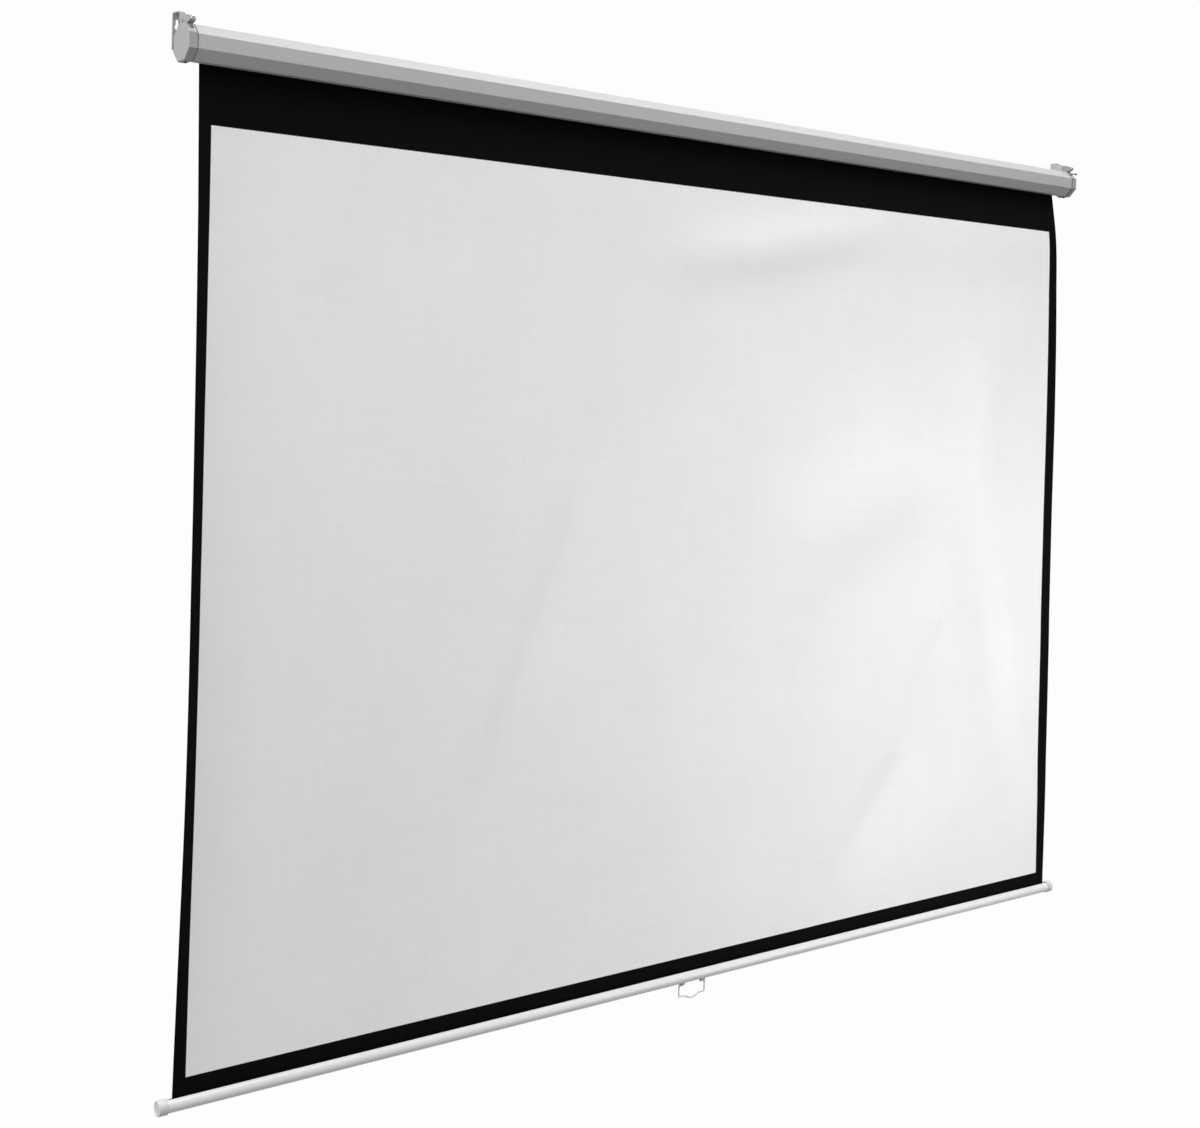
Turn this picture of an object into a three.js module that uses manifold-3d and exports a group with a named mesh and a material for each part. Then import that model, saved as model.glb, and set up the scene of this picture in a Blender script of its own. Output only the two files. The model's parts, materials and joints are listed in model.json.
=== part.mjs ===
// Manual pull-down projector screen on a spring roller. Millimetres, +Z up.
// The origin lies in the wall plane, midway between the two wall brackets and level with the
// centre line of the case. +X runs along the case to the viewer's right, +Y points into the wall,
// so the whole screen hangs at negative Y.
import * as THREE from 'three';
import { mergeVertices } from 'three/addons/utils/BufferGeometryUtils.js';
import Module from 'manifold-3d';

const wasm = await Module();
wasm.setup();

// Clearances that every fit shares
const FIT = 0.3; // between pieces that rest on or are cut by each other
const OVERRUN = 4; // how far a cutting shape runs past what it cuts

// The cloth
const FABRIC_WIDTH = 2490;
const FABRIC_THICK = 0.45;
const FABRIC_DROP = 1859; // from the underside of the case to the top of the bar
const SAFETY_WRAPS = 2; // turns of cloth that stay on the roller
const BELLY_LEFT = 3; // how far the hanging cloth stands out towards the viewer
const BELLY_RIGHT = 15;
const CURL_LEFT = 17.5; // how far its side edges curl forward of that
const CURL_RIGHT = 8.5;
const CURL_REACH = 28; // from the edge, where most of the curl has gone
const FOLD_DEPTH = 1.6; // the soft upright folds of the hanging cloth
const FOLD_PITCH = 620;
const RIPPLE_DEPTH = 1.2; // the slanting ripples near the right edge
const RIPPLE_PITCH = 470;

// The case: an eight-sided shell of folded sheet steel, open along a slot underneath
const CASE_ACROSS = 66; // over the flats
const CASE_SHEET = 1.2;
const CASE_END_ROOM = 23; // from the edge of the cloth to the end of the shell
const CASE_BEND = 2.2; // outer radius of the folds
const CASE_WALL_GAP = 5; // between the case and the wall
const SLOT_FRONT = 5; // the slot's front lip, behind the centre of the case
const SLOT_REAR = 19; // the slot's rear lip
const HEM = 5; // the lips are turned up by this much
const FABRIC_BACKSET = 14; // the cloth hangs this far behind the centre of the case

// The end brackets: steel, a web across each end of the case and flanges bent outwards
const BRACKET_SHEET = 2.5;
const BRACKET_WEB_ACROSS = 63; // the web is a little smaller than the case
const BRACKET_TOP = 60; // above the centre of the case
const BRACKET_FOOT = 9; // below the centre of the case
const BRACKET_FLANGE = 20; // how far the flanges stand out past the web
const BRACKET_RADIUS = 3; // corner radius of the wall flange
const TOP_FLANGE_DEPTH = 16; // the top flange, measured from the wall
const LUG_WIDTH = 11; // the lugs that the cap screws hold
const LUG_LENGTH = 12;
const KEYHOLE_HEIGHT = 33; // centre of the keyhole's round part above the centre of the case
const KEYHOLE_RADIUS = 4.6;
const KEYHOLE_SLOT = 5.4; // width of the narrow part
const KEYHOLE_TRAVEL = 12; // from the round part up to the end of the slot

// The end caps: moulded covers with an ear that stands above the case
const CAP_ACROSS = 69;
const CAP_DEPTH = 16;
const CAP_WALL = 2.2;
const CAP_BEVEL = 2.6;
const EAR_DEPTH = 11.5; // a little less than the cap's
const EAR_REAR = 17.5; // the ear's rear edge in front of the wall
const EAR_REAR_HEIGHT = 57; // top of the ear there, above the centre of the case
const EAR_NOSE_REACH = 40.5; // centre of the ear's round nose in front of the ear's rear edge
const EAR_NOSE_HEIGHT = 40.7;
const EAR_NOSE_RADIUS = 6;
const EAR_BAND = 12; // height of the raised band along the top of the ear
const EAR_BAND_STEP = 1;
const GROOVE_HEIGHT = 37; // the tapering groove in the cap's end face: its top
const GROOVE_LENGTH = 22;
const GROOVE_RADIUS = 4.2;
const GROOVE_FOOT_RADIUS = 0.8;
const GROOVE_SETBACK = 31; // in front of the wall

// Screws and pins
const SCREW_HEAD_RADIUS = 3;
const SCREW_HEAD_HEIGHT = 2.2;
const SCREW_RADIUS = 1.9;
const SCREW_LENGTH = 9;
const NOSE_SCREW_HEAD_RADIUS = 4.2;
const CAP_PIN_RADIUS = 1.3; // the thin headed pin that stands out of the right end
const CAP_PIN_LENGTH = 20;
const CAP_PIN_HEAD_RADIUS = 2.6;
const CAP_PIN_HEAD_LENGTH = 4;
const CAP_PIN_SEAT = 1.6; // how deep the pin sits in the end cap

// The roller and what turns with it
const ROLLER_RADIUS = 18;
const ROLLER_WALL = 1.2;
const ROLLER_RISE = 1.5; // roller axis above the centre of the case
const ROLLER_END_GAP = 12; // from the tube's end to the web
const PLUG_LENGTH = 28;
const PLUG_FLANGE = 2.6;
const GUDGEON_RADIUS = 4;
const GUDGEON_OUT = 12; // how far the gudgeon stands out past the web's inner face
const GUDGEON_IN = 40;
const BUSH_WALL = 3;
const BUSH_FLANGE_WIDTH = 3.5;
const BUSH_FLANGE_THICK = 1.6;

// The fixed axle, the spring on it, and the pawl lock
const SPEAR_RADIUS = 5;
const SPEAR_REACH = 150; // from the web into the roller
const SPEAR_OUT = 12; // past the web's inner face
const SPEAR_BLADE = 5.4; // thickness of the axle's flattened end
const MANDREL_WALL = 3.2; // round the axle
const MANDREL_GAP = 18; // between the mandrel and the pawl carrier
const MANDREL_COLLAR_RIM = 4; // how far the collar stands out
const MANDREL_COLLAR = 6;
const SPRING_WIRE = 2;
const SPRING_PLAY = 1.7; // between the spring and the mandrel
const SPRING_TURNS = 24;
const SPRING_PITCH = 9.5;
const ANCHOR_LENGTH = 30;
const ANCHOR_NOSE_LENGTH = 34;
const CARRIER_DISC = 2.6; // wall between the plug and the pawl room
const CARRIER_RIM = 1.8;
const PAWL_THICK = 3.2;
const PAWL_PIN_RADIUS = 1.2;
const PAWL_BOSS_SHARE = 0.248; // of the room between the axle and the carrier's rim
const PAWL_RIM_GAP = 0.9; // between a pawl's boss and the rim
const PAWL_NOSE_RADIUS = 0.9;
const PAWL_LIFT_GAP = 0.56; // between a lifted pawl's nose and the ratchet
const RATCHET_WALL_SHARE = 0.055; // of the same room: under a notch
const RATCHET_SHARE = 0.211; // of the same room: out to the rim
const RATCHET_NOTCHES = 4;
const RATCHET_NOTCH_WIDTH = 3.2;
const RATCHET_RAMP_SHARE = 3; // how far the sloping side of a notch reaches, in half notches

// The bottom bar
const BAR_RADIUS = 12;
const BAR_WALL = 1.5;
const BAR_SLOT = 4.4;
const BAR_OVERHANG = 28.2; // past the edge of the cloth, over the bar caps
const BAR_CAP_LENGTH = 17;
const BAR_CAP_WALL = 1.7;
const BAR_CAP_END = 2.6;
const BAR_CAP_ROUND = 1.6;
const HEM_ROD_RADIUS = 3.2;

// The pull handle
const HANDLE_OFFSET = -10; // the handle hangs a little left of the middle
const HANDLE_WIDTH = 75; // between the middles of its legs
const HANDLE_LEG = 22.8; // straight part of each leg
const HANDLE_SHOULDER = 7; // level run next to each lower corner
const HANDLE_BOW = 7; // how far the middle of the lower run bows below its shoulders
const HANDLE_WIRE = 3.2;
const HANDLE_TURN_IN = 10; // the wire's ends turn in along the pivot by this much
const CLIP_LENGTH = 9;
const CLIP_WALL = 1.2; // round the wire
const CLIP_REACH = 7; // of the saddle round the bar, to each side
const CLIP_SADDLE = 1.6;

// Sizes worked out from those above
const EIGHTH = Math.tan(Math.PI / 8); // half a side of an octagon over its inner radius
const TURN = Math.PI * 2;
const CASE_R = CASE_ACROSS / 2;
const CAP_R = CAP_ACROSS / 2;
const WEB_R = BRACKET_WEB_ACROSS / 2;
const CASE_Y = -(CASE_R + CASE_WALL_GAP);
const CASE_HALF = FABRIC_WIDTH / 2 + CASE_END_ROOM;
const WEB_X = CASE_HALF + FIT;
const CAP_X = WEB_X + BRACKET_SHEET + FIT;
const CAP_END_X = CAP_X + CAP_DEPTH;
const NOSE_FRONT = -CASE_Y - EAR_REAR - EAR_NOSE_REACH - EAR_NOSE_RADIUS;
const WRAP_INNER = ROLLER_RADIUS + FIT;
const WRAP_OUTER = WRAP_INNER + SAFETY_WRAPS * FABRIC_THICK;
const FABRIC_Y = CASE_Y + FABRIC_BACKSET;
const ROLLER_Y = FABRIC_Y - (WRAP_OUTER + FIT + FABRIC_THICK / 2);
const ROLLER_HALF = WEB_X - ROLLER_END_GAP;
const ROLLER_BORE = ROLLER_RADIUS - ROLLER_WALL;
const AXLE_BORE = SPEAR_RADIUS + FIT;
const MANDREL_RADIUS = AXLE_BORE + MANDREL_WALL;
const MANDREL_LENGTH = SPEAR_REACH - ROLLER_END_GAP - PLUG_LENGTH - MANDREL_GAP;
const SPRING_COIL_RADIUS = MANDREL_RADIUS + SPRING_PLAY + SPRING_WIRE / 2; // to the wire's middle
const PAWL_ROOM_RADIUS = ROLLER_RADIUS - CARRIER_RIM;
const PAWL_ROOM = PAWL_ROOM_RADIUS - AXLE_BORE;
const RATCHET_ROOT_RADIUS = AXLE_BORE + PAWL_ROOM * RATCHET_WALL_SHARE;
const RATCHET_RADIUS = AXLE_BORE + PAWL_ROOM * RATCHET_SHARE;
const PAWL_BOSS_RADIUS = PAWL_ROOM * PAWL_BOSS_SHARE;
const PAWL_PIVOT_RADIUS = PAWL_ROOM_RADIUS - PAWL_RIM_GAP - PAWL_BOSS_RADIUS;
// the lifted pawl touches the circle that its nose keeps clear of the ratchet
const PAWL_LIFT = Math.asin((RATCHET_RADIUS + PAWL_LIFT_GAP + PAWL_NOSE_RADIUS) / PAWL_PIVOT_RADIUS);
const PAWL_ARM = PAWL_PIVOT_RADIUS * Math.cos(PAWL_LIFT); // from the pivot to the nose's middle
const BAR_TOP = -CASE_R - FABRIC_DROP;
const BAR_Z = BAR_TOP - BAR_RADIUS;
const BAR_CAP_RADIUS = BAR_RADIUS + FIT + BAR_CAP_WALL;
const BAR_END = FABRIC_WIDTH / 2 + BAR_OVERHANG;
const BAR_TUBE_HALF = BAR_END - BAR_CAP_END - FIT;
const HEM_ROD_RISE = BAR_RADIUS - BAR_WALL - FIT - FABRIC_THICK - FIT - HEM_ROD_RADIUS;
const BAR_STOP_Z = -CAP_R - BAR_CAP_RADIUS - 2 * FIT;
const CLIP_RADIUS = HANDLE_WIRE / 2 + FIT + CLIP_WALL;
const HANDLE_PIVOT_Z = -(BAR_RADIUS + FIT + CLIP_RADIUS);

const ROUND = 32; // sides of the round pieces
const SMALL_ROUND = 16;

// Materials, after the real finishes
function paint(color, roughness, metalness) {
  return new THREE.MeshStandardMaterial({ color, roughness, metalness });
}

const WHITE_STEEL = paint('#e9eae8', 0.42, 0.15);
const GREY_STEEL = paint('#b9bbba', 0.45, 0.4);
const WHITE_PLASTIC = paint('#dcdddb', 0.5, 0);
const BLACK_SCREW = paint('#2a2b2c', 0.4, 0.7);
const ZINC = paint('#b4b6b6', 0.35, 0.85);
const NYLON = paint('#cfcdc6', 0.55, 0);
const SPRING_STEEL = paint('#8d8f90', 0.3, 0.9);
const CLOTH = paint('#f1f1ef', 0.85, 0);
const HANDLE_STEEL = paint('#9b9d9d', 0.35, 0.8);

// Mesh helpers

// Merges shared corners, drops collapsed triangles and makes the faces point out.
function weld(source) {
  const bare = source.clone();
  for (const name of Object.keys(bare.attributes)) {
    if (name !== 'position') bare.deleteAttribute(name);
  }
  const merged = mergeVertices(bare);
  const index = Array.from(merged.index.array);
  const kept = [];
  for (let i = 0; i < index.length; i += 3) {
    const [a, b, c] = index.slice(i, i + 3);
    if (a !== b && b !== c && c !== a) kept.push(a, b, c);
  }
  const at = new THREE.Vector3();
  const bt = new THREE.Vector3();
  const ct = new THREE.Vector3();
  let volume = 0;
  for (let i = 0; i < kept.length; i += 3) {
    at.fromBufferAttribute(merged.attributes.position, kept[i]);
    bt.fromBufferAttribute(merged.attributes.position, kept[i + 1]);
    ct.fromBufferAttribute(merged.attributes.position, kept[i + 2]);
    volume += at.dot(bt.cross(ct));
  }
  if (volume < 0) kept.reverse();
  merged.setIndex(kept);
  return merged;
}

function toSolid(geometry) {
  const welded = weld(geometry);
  return new wasm.Manifold(new wasm.Mesh({
    numProp: 3,
    vertProperties: new Float32Array(welded.attributes.position.array),
    triVerts: new Uint32Array(welded.index.array),
  }));
}

function fromSolid(solid) {
  const mesh = solid.getMesh();
  const geometry = new THREE.BufferGeometry();
  geometry.setAttribute('position', new THREE.BufferAttribute(new Float32Array(mesh.vertProperties), 3));
  geometry.setIndex(Array.from(mesh.triVerts));
  return geometry;
}

function cut(body, ...tools) {
  let solid = toSolid(body);
  for (const tool of tools) solid = solid.subtract(toSolid(tool));
  return fromSolid(solid);
}

function join(body, ...others) {
  let solid = toSolid(body);
  for (const other of others) solid = solid.add(toSolid(other));
  return fromSolid(solid);
}

function keepInside(body, tool) {
  return fromSolid(toSolid(body).intersect(toSolid(tool)));
}

// The same piece for the other end of the screen.
function mirrored(geometry) {
  const other = geometry.clone();
  other.scale(-1, 1, 1);
  return weld(other);
}

// Turns a profile drawn in (Y, Z) and extruded along +z into one that runs along +X.
const ALONG_X = new THREE.Matrix4().set(0, 0, 1, 0, 1, 0, 0, 0, 0, 1, 0, 0, 0, 0, 0, 1);

function extrudeAlongX(shape, from, to, options = {}) {
  const geometry = new THREE.ExtrudeGeometry(shape, {
    depth: to - from, bevelEnabled: false, curveSegments: SMALL_ROUND, ...options,
  });
  geometry.applyMatrix4(ALONG_X);
  geometry.translate(from, 0, 0);
  return geometry;
}

// Revolves [radius, x] points about the X axis.
function revolveAboutX(points, sides = ROUND) {
  const profile = points.map(([radius, x]) => new THREE.Vector2(radius, x));
  const geometry = new THREE.LatheGeometry(profile, sides);
  geometry.rotateZ(-Math.PI / 2);
  return weld(geometry);
}

function rodAlongX(radius, from, to, sides = SMALL_ROUND) {
  return revolveAboutX([[0, from], [radius, from], [radius, to], [0, to]], sides);
}

function ringAlongX(inner, outer, from, to, sides = ROUND) {
  return revolveAboutX([[inner, from], [outer, from], [outer, to], [inner, to], [inner, from]], sides);
}

function block(x0, x1, y0, y1, z0, z1) {
  const geometry = new THREE.BoxGeometry(x1 - x0, y1 - y0, z1 - z0);
  geometry.translate((x0 + x1) / 2, (y0 + y1) / 2, (z0 + z1) / 2);
  return geometry;
}

// The corners of an upright octagon of inner radius r, from its rear bottom corner
// round by the front and the top.
function octagonCorners(r) {
  const side = r * EIGHTH;
  return [
    [side, -r], [-side, -r], [-r, -side], [-r, side],
    [-side, r], [side, r], [r, side], [r, -side],
  ].map(([y, z]) => new THREE.Vector2(y, z));
}

// Rounds the inner corners of an open path.
function roundCorners(path, radius, steps) {
  const rounded = [path[0]];
  for (let i = 1; i < path.length - 1; i += 1) {
    const corner = path[i];
    const back = path[i - 1].clone().sub(corner);
    const ahead = path[i + 1].clone().sub(corner);
    const half = Math.acos(back.clone().normalize().dot(ahead.clone().normalize())) / 2;
    const reach = Math.min(radius / Math.tan(half), back.length() / 2, ahead.length() / 2);
    const start = corner.clone().add(back.setLength(reach));
    const end = corner.clone().add(ahead.setLength(reach));
    const bend = new THREE.QuadraticBezierCurve(start, corner, end);
    rounded.push(...bend.getPoints(steps));
  }
  rounded.push(path[path.length - 1]);
  return rounded;
}

// A strip of sheet: the path is its outer face, and its thickness lies on the right of the path.
function sheetShape(path, thickness) {
  const inner = path.map((point, i) => {
    const before = path[Math.max(i - 1, 0)];
    const after = path[Math.min(i + 1, path.length - 1)];
    const into = point.clone().sub(before);
    const out = after.clone().sub(point);
    if (into.length() === 0) into.copy(out);
    if (out.length() === 0) out.copy(into);
    into.normalize();
    out.normalize();
    const along = into.clone().add(out).normalize();
    const stretch = thickness / Math.max(along.dot(into), EIGHTH);
    return new THREE.Vector2(point.x + along.y * stretch, point.y - along.x * stretch);
  });
  return new THREE.Shape([...path, ...inner.reverse()]);
}

const screen = new THREE.Group();

function addPart(group, name, geometry, material) {
  const mesh = new THREE.Mesh(weld(geometry), material);
  mesh.name = name;
  group.add(mesh);
  return mesh;
}

function groupAt(x, y, z) {
  const group = new THREE.Group();
  group.position.set(x, y, z);
  screen.add(group);
  return group;
}

const caseGroup = groupAt(0, CASE_Y, 0);
const rollerGroup = groupAt(0, ROLLER_Y, ROLLER_RISE);
const barGroup = groupAt(0, FABRIC_Y, BAR_Z);

// The shell, with both lips of its slot turned up inside
function caseShell() {
  const corners = octagonCorners(CASE_R);
  const rearLip = new THREE.Vector2(SLOT_REAR, SLOT_REAR - CASE_R * (1 + EIGHTH));
  const path = roundCorners([
    new THREE.Vector2(SLOT_FRONT, -CASE_R + HEM),
    new THREE.Vector2(SLOT_FRONT, -CASE_R),
    ...corners.slice(1),
    rearLip,
    new THREE.Vector2(SLOT_REAR, rearLip.y + HEM),
  ], CASE_BEND, 2);
  return extrudeAlongX(sheetShape(path, CASE_SHEET), -CASE_HALF, CASE_HALF);
}

// The web's outline: an octagon with a rear edge that reaches the wall and a sloping top
function webShape() {
  const corners = octagonCorners(WEB_R);
  const wall = -CASE_Y;
  const earFront = -(EAR_REAR - wall) - EAR_NOSE_REACH / 2;
  const slope = (EAR_REAR_HEIGHT - EAR_NOSE_HEIGHT - EAR_NOSE_RADIUS) / EAR_NOSE_REACH;
  const frontTop = EAR_REAR_HEIGHT - EAR_BAND_STEP - slope * EAR_NOSE_REACH / 2;
  return new THREE.Shape([
    ...corners.slice(0, 5),
    new THREE.Vector2(earFront, WEB_R),
    new THREE.Vector2(earFront, frontTop),
    new THREE.Vector2(wall - EAR_REAR, EAR_REAR_HEIGHT - EAR_BAND_STEP),
    new THREE.Vector2(wall - TOP_FLANGE_DEPTH, BRACKET_TOP),
    new THREE.Vector2(wall, BRACKET_TOP),
    new THREE.Vector2(wall, -BRACKET_FOOT),
    new THREE.Vector2(WEB_R, -BRACKET_FOOT),
    ...corners.slice(7),
  ]);
}

// A bent-out flange with rounded outer corners, drawn in (X, along) from low to high
function flange(low, high) {
  const end = WEB_X + BRACKET_FLANGE;
  const round = end - BRACKET_RADIUS;
  const shape = new THREE.Shape();
  shape.moveTo(WEB_X, low);
  shape.lineTo(round, low);
  shape.absarc(round, low + BRACKET_RADIUS, BRACKET_RADIUS, -Math.PI / 2, 0);
  shape.lineTo(end, high - BRACKET_RADIUS);
  shape.absarc(round, high - BRACKET_RADIUS, BRACKET_RADIUS, 0, Math.PI / 2);
  shape.lineTo(WEB_X, high);
  return new THREE.ExtrudeGeometry(shape, {
    depth: BRACKET_SHEET, bevelEnabled: false, curveSegments: 4,
  });
}

function keyhole(x) {
  const shape = new THREE.Shape();
  const half = KEYHOLE_SLOT / 2;
  const neck = Math.asin(half / KEYHOLE_RADIUS);
  shape.absarc(x, KEYHOLE_HEIGHT, KEYHOLE_RADIUS, Math.PI / 2 + neck, TURN + Math.PI / 2 - neck);
  shape.absarc(x, KEYHOLE_HEIGHT + KEYHOLE_TRAVEL, half, 0, Math.PI);
  return new THREE.ExtrudeGeometry(shape, {
    depth: BRACKET_SHEET + 2 * OVERRUN, bevelEnabled: false, curveSegments: 10,
  });
}

// The right end bracket in the case's frame, with the opening for its axle
function endBracket(axleOpening) {
  const wall = -CASE_Y;
  const flangeEnd = WEB_X + BRACKET_FLANGE;
  const web = extrudeAlongX(webShape(), WEB_X, WEB_X + BRACKET_SHEET);
  const wallFlange = flange(-BRACKET_FOOT, BRACKET_TOP);
  wallFlange.rotateX(Math.PI / 2);
  wallFlange.translate(0, wall, 0);
  const topFlange = flange(-TOP_FLANGE_DEPTH, 0);
  topFlange.translate(0, wall, BRACKET_TOP - BRACKET_SHEET);
  const slotX = (WEB_X + BRACKET_SHEET + flangeEnd) / 2;
  const wallSlot = keyhole(slotX);
  wallSlot.rotateX(Math.PI / 2);
  wallSlot.translate(0, wall + OVERRUN, 0);
  const turns = Object.values(SCREW_TURNS);
  const lugs = turns.map((turn) => onCapSide(lug(), turn));
  const lugHoles = turns.map((turn) => onCapSide(screwHole(), turn));
  return cut(join(web, wallFlange, topFlange, ...lugs), wallSlot, axleOpening, ...lugHoles);
}

// Openings for the axles, in the case's frame
function bushOpening() {
  const hole = rodAlongX(GUDGEON_RADIUS + BUSH_WALL + 2 * FIT, WEB_X - OVERRUN, CAP_X + OVERRUN, ROUND);
  hole.translate(0, ROLLER_Y - CASE_Y, ROLLER_RISE);
  return hole;
}

function spearOpening() {
  const half = SPEAR_BLADE / 2 + FIT;
  const hole = block(WEB_X - OVERRUN, CAP_X + OVERRUN, -half, half, -AXLE_BORE, AXLE_BORE);
  hole.translate(0, ROLLER_Y - CASE_Y, ROLLER_RISE);
  return hole;
}

// The ear that stands on the cap: up its rear edge, down along its sloping top to a round nose
function earShape() {
  const rear = -CASE_Y - EAR_REAR;
  const nose = rear - EAR_NOSE_REACH;
  const drop = EAR_REAR_HEIGHT - EAR_NOSE_HEIGHT - EAR_NOSE_RADIUS;
  const tilt = Math.atan2(drop, EAR_NOSE_REACH);
  const foot = CAP_R - CAP_WALL / 2;
  const shape = new THREE.Shape();
  shape.moveTo(rear, CAP_R * (1 + EIGHTH) - rear - CAP_WALL / 2);
  shape.lineTo(-CAP_R * EIGHTH, foot);
  shape.lineTo(nose, EAR_NOSE_HEIGHT - EAR_NOSE_RADIUS);
  shape.absarc(nose, EAR_NOSE_HEIGHT, EAR_NOSE_RADIUS, -Math.PI / 2, Math.PI / 2 + tilt, true);
  shape.lineTo(rear, EAR_REAR_HEIGHT);
  return shape;
}

// The lower line of the raised band along the ear, as a shallow step in its outer face
function earStep() {
  const rear = -CASE_Y - EAR_REAR;
  const nose = rear - EAR_NOSE_REACH;
  const lowRear = EAR_REAR_HEIGHT - EAR_BAND;
  const lowNose = EAR_NOSE_HEIGHT + EAR_NOSE_RADIUS - EAR_BAND;
  const margin = OVERRUN + EAR_NOSE_RADIUS;
  const shape = new THREE.Shape([
    new THREE.Vector2(nose, lowNose),
    new THREE.Vector2(nose - margin, CAP_R),
    new THREE.Vector2(rear + OVERRUN, CAP_R),
    new THREE.Vector2(rear + OVERRUN, lowRear),
  ]);
  const earEnd = CAP_X + EAR_DEPTH;
  return extrudeAlongX(shape, earEnd - EAR_BAND_STEP, CAP_END_X + OVERRUN);
}

// The screws that hold each cap, one in the upper front slant and one in the bottom.
// Each turns a screw that points into the front face to its place on the cap.
const SCREW_TURNS = { upper: -Math.PI / 4, lower: Math.PI / 2 };

function onCapSide(geometry, turn) {
  geometry.translate(CAP_X + LUG_LENGTH / 2 + FIT, -CAP_R, 0);
  geometry.rotateX(turn);
  return geometry;
}

function screwHole() {
  const radius = SCREW_RADIUS + FIT;
  const hole = new THREE.CylinderGeometry(radius, radius, SCREW_LENGTH + OVERRUN, SMALL_ROUND);
  hole.translate(0, (SCREW_LENGTH - OVERRUN) / 2 + FIT, 0);
  return hole;
}

function lug() {
  const depth = CAP_R - WEB_R;
  const half = LUG_WIDTH / 2;
  return block(-LUG_LENGTH / 2 - FIT * 3, LUG_LENGTH / 2, depth, depth + BRACKET_SHEET, -half, half);
}

function endCap(rightEnd) {
  const outline = new THREE.Shape(octagonCorners(CAP_R));
  const blank = extrudeAlongX(outline, CAP_X - CAP_BEVEL, CAP_END_X - CAP_BEVEL, {
    bevelEnabled: true,
    bevelThickness: CAP_BEVEL,
    bevelSize: CAP_BEVEL,
    bevelOffset: -CAP_BEVEL,
    bevelSegments: 2,
  });
  const high = CAP_R + OVERRUN;
  const room = block(CAP_X, CAP_END_X + OVERRUN, -high, high, -high, high);
  const octagon = keepInside(blank, room);
  const ear = extrudeAlongX(earShape(), CAP_X, CAP_X + EAR_DEPTH);
  const hollow = extrudeAlongX(
    new THREE.Shape(octagonCorners(CAP_R - CAP_WALL)), CAP_X - OVERRUN, CAP_END_X - CAP_WALL,
  );
  const groove = new THREE.CylinderGeometry(
    GROOVE_RADIUS, GROOVE_FOOT_RADIUS, GROOVE_LENGTH, SMALL_ROUND,
  );
  groove.rotateX(Math.PI / 2);
  groove.translate(CAP_END_X, -CASE_Y - GROOVE_SETBACK, GROOVE_HEIGHT - GROOVE_LENGTH / 2);
  const noseHole = screwHole();
  noseHole.translate(CAP_X + EAR_DEPTH / 2, NOSE_FRONT, EAR_NOSE_HEIGHT);
  const tools = [hollow, groove, noseHole];
  for (const turn of Object.values(SCREW_TURNS)) tools.push(onCapSide(screwHole(), turn));
  if (rightEnd) tools.push(capPinSeat());
  return cut(join(octagon, cut(ear, earStep())), ...tools);
}

// The right end's headed pin and its seat, in the upper front corner of the cap
function atCapPin(geometry) {
  geometry.translate(0, -CAP_R * EIGHTH - CAP_BEVEL, CAP_R - CAP_BEVEL - CAP_WALL);
  return geometry;
}

function capPinSeat() {
  const floor = CAP_END_X - CAP_PIN_SEAT - FIT;
  return atCapPin(rodAlongX(CAP_PIN_RADIUS + FIT, floor, CAP_END_X + OVERRUN));
}

function capPin() {
  const from = CAP_END_X - CAP_PIN_SEAT;
  const headFrom = from + CAP_PIN_LENGTH;
  const headTo = headFrom + CAP_PIN_HEAD_LENGTH;
  const round = CAP_PIN_HEAD_RADIUS / 3;
  const flat = CAP_PIN_HEAD_RADIUS - round;
  return atCapPin(revolveAboutX([
    [0, from], [CAP_PIN_RADIUS, from], [CAP_PIN_RADIUS, headFrom], [flat, headFrom],
    [CAP_PIN_HEAD_RADIUS, headFrom + round], [CAP_PIN_HEAD_RADIUS, headTo - round],
    [flat, headTo], [0, headTo],
  ], SMALL_ROUND));
}

// A screw along Y: its seat at y = 0, its head in front of that and its shank behind
function screwAlongY(headRadius, headHeight, radius, length) {
  const dome = headHeight / 3;
  const profile = [
    [0, length], [radius, length], [radius, 0], [headRadius, 0],
    [headRadius, -(headHeight - dome)], [headRadius - dome, -headHeight], [0, -headHeight],
  ].map(([r, y]) => new THREE.Vector2(r, y));
  return weld(new THREE.LatheGeometry(profile, SMALL_ROUND));
}

function capScrew(turn) {
  const screw = screwAlongY(SCREW_HEAD_RADIUS, SCREW_HEAD_HEIGHT, SCREW_RADIUS, SCREW_LENGTH);
  screw.translate(0, -FIT, 0);
  return onCapSide(screw, turn);
}

function noseScrew() {
  const screw = screwAlongY(NOSE_SCREW_HEAD_RADIUS, SCREW_HEAD_HEIGHT, SCREW_RADIUS, SCREW_LENGTH);
  screw.translate(CAP_X + EAR_DEPTH / 2, NOSE_FRONT - FIT, EAR_NOSE_HEIGHT);
  return screw;
}

addPart(caseGroup, 'case_shell', caseShell(), WHITE_STEEL);
addPart(caseGroup, 'end_bracket_left', mirrored(endBracket(bushOpening())), GREY_STEEL);
addPart(caseGroup, 'end_bracket_right', endBracket(spearOpening()), GREY_STEEL);
addPart(caseGroup, 'end_cap_left', mirrored(endCap(false)), WHITE_PLASTIC);
addPart(caseGroup, 'end_cap_right', endCap(true), WHITE_PLASTIC);
for (const [level, turn] of Object.entries(SCREW_TURNS)) {
  addPart(caseGroup, `cap_screw_left_${level}`, mirrored(capScrew(turn)), BLACK_SCREW);
  addPart(caseGroup, `cap_screw_right_${level}`, capScrew(turn), BLACK_SCREW);
}
addPart(caseGroup, 'ear_screw_left', mirrored(noseScrew()), BLACK_SCREW);
addPart(caseGroup, 'ear_screw_right', noseScrew(), BLACK_SCREW);
addPart(caseGroup, 'cap_pin_right', capPin(), BLACK_SCREW);

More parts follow.
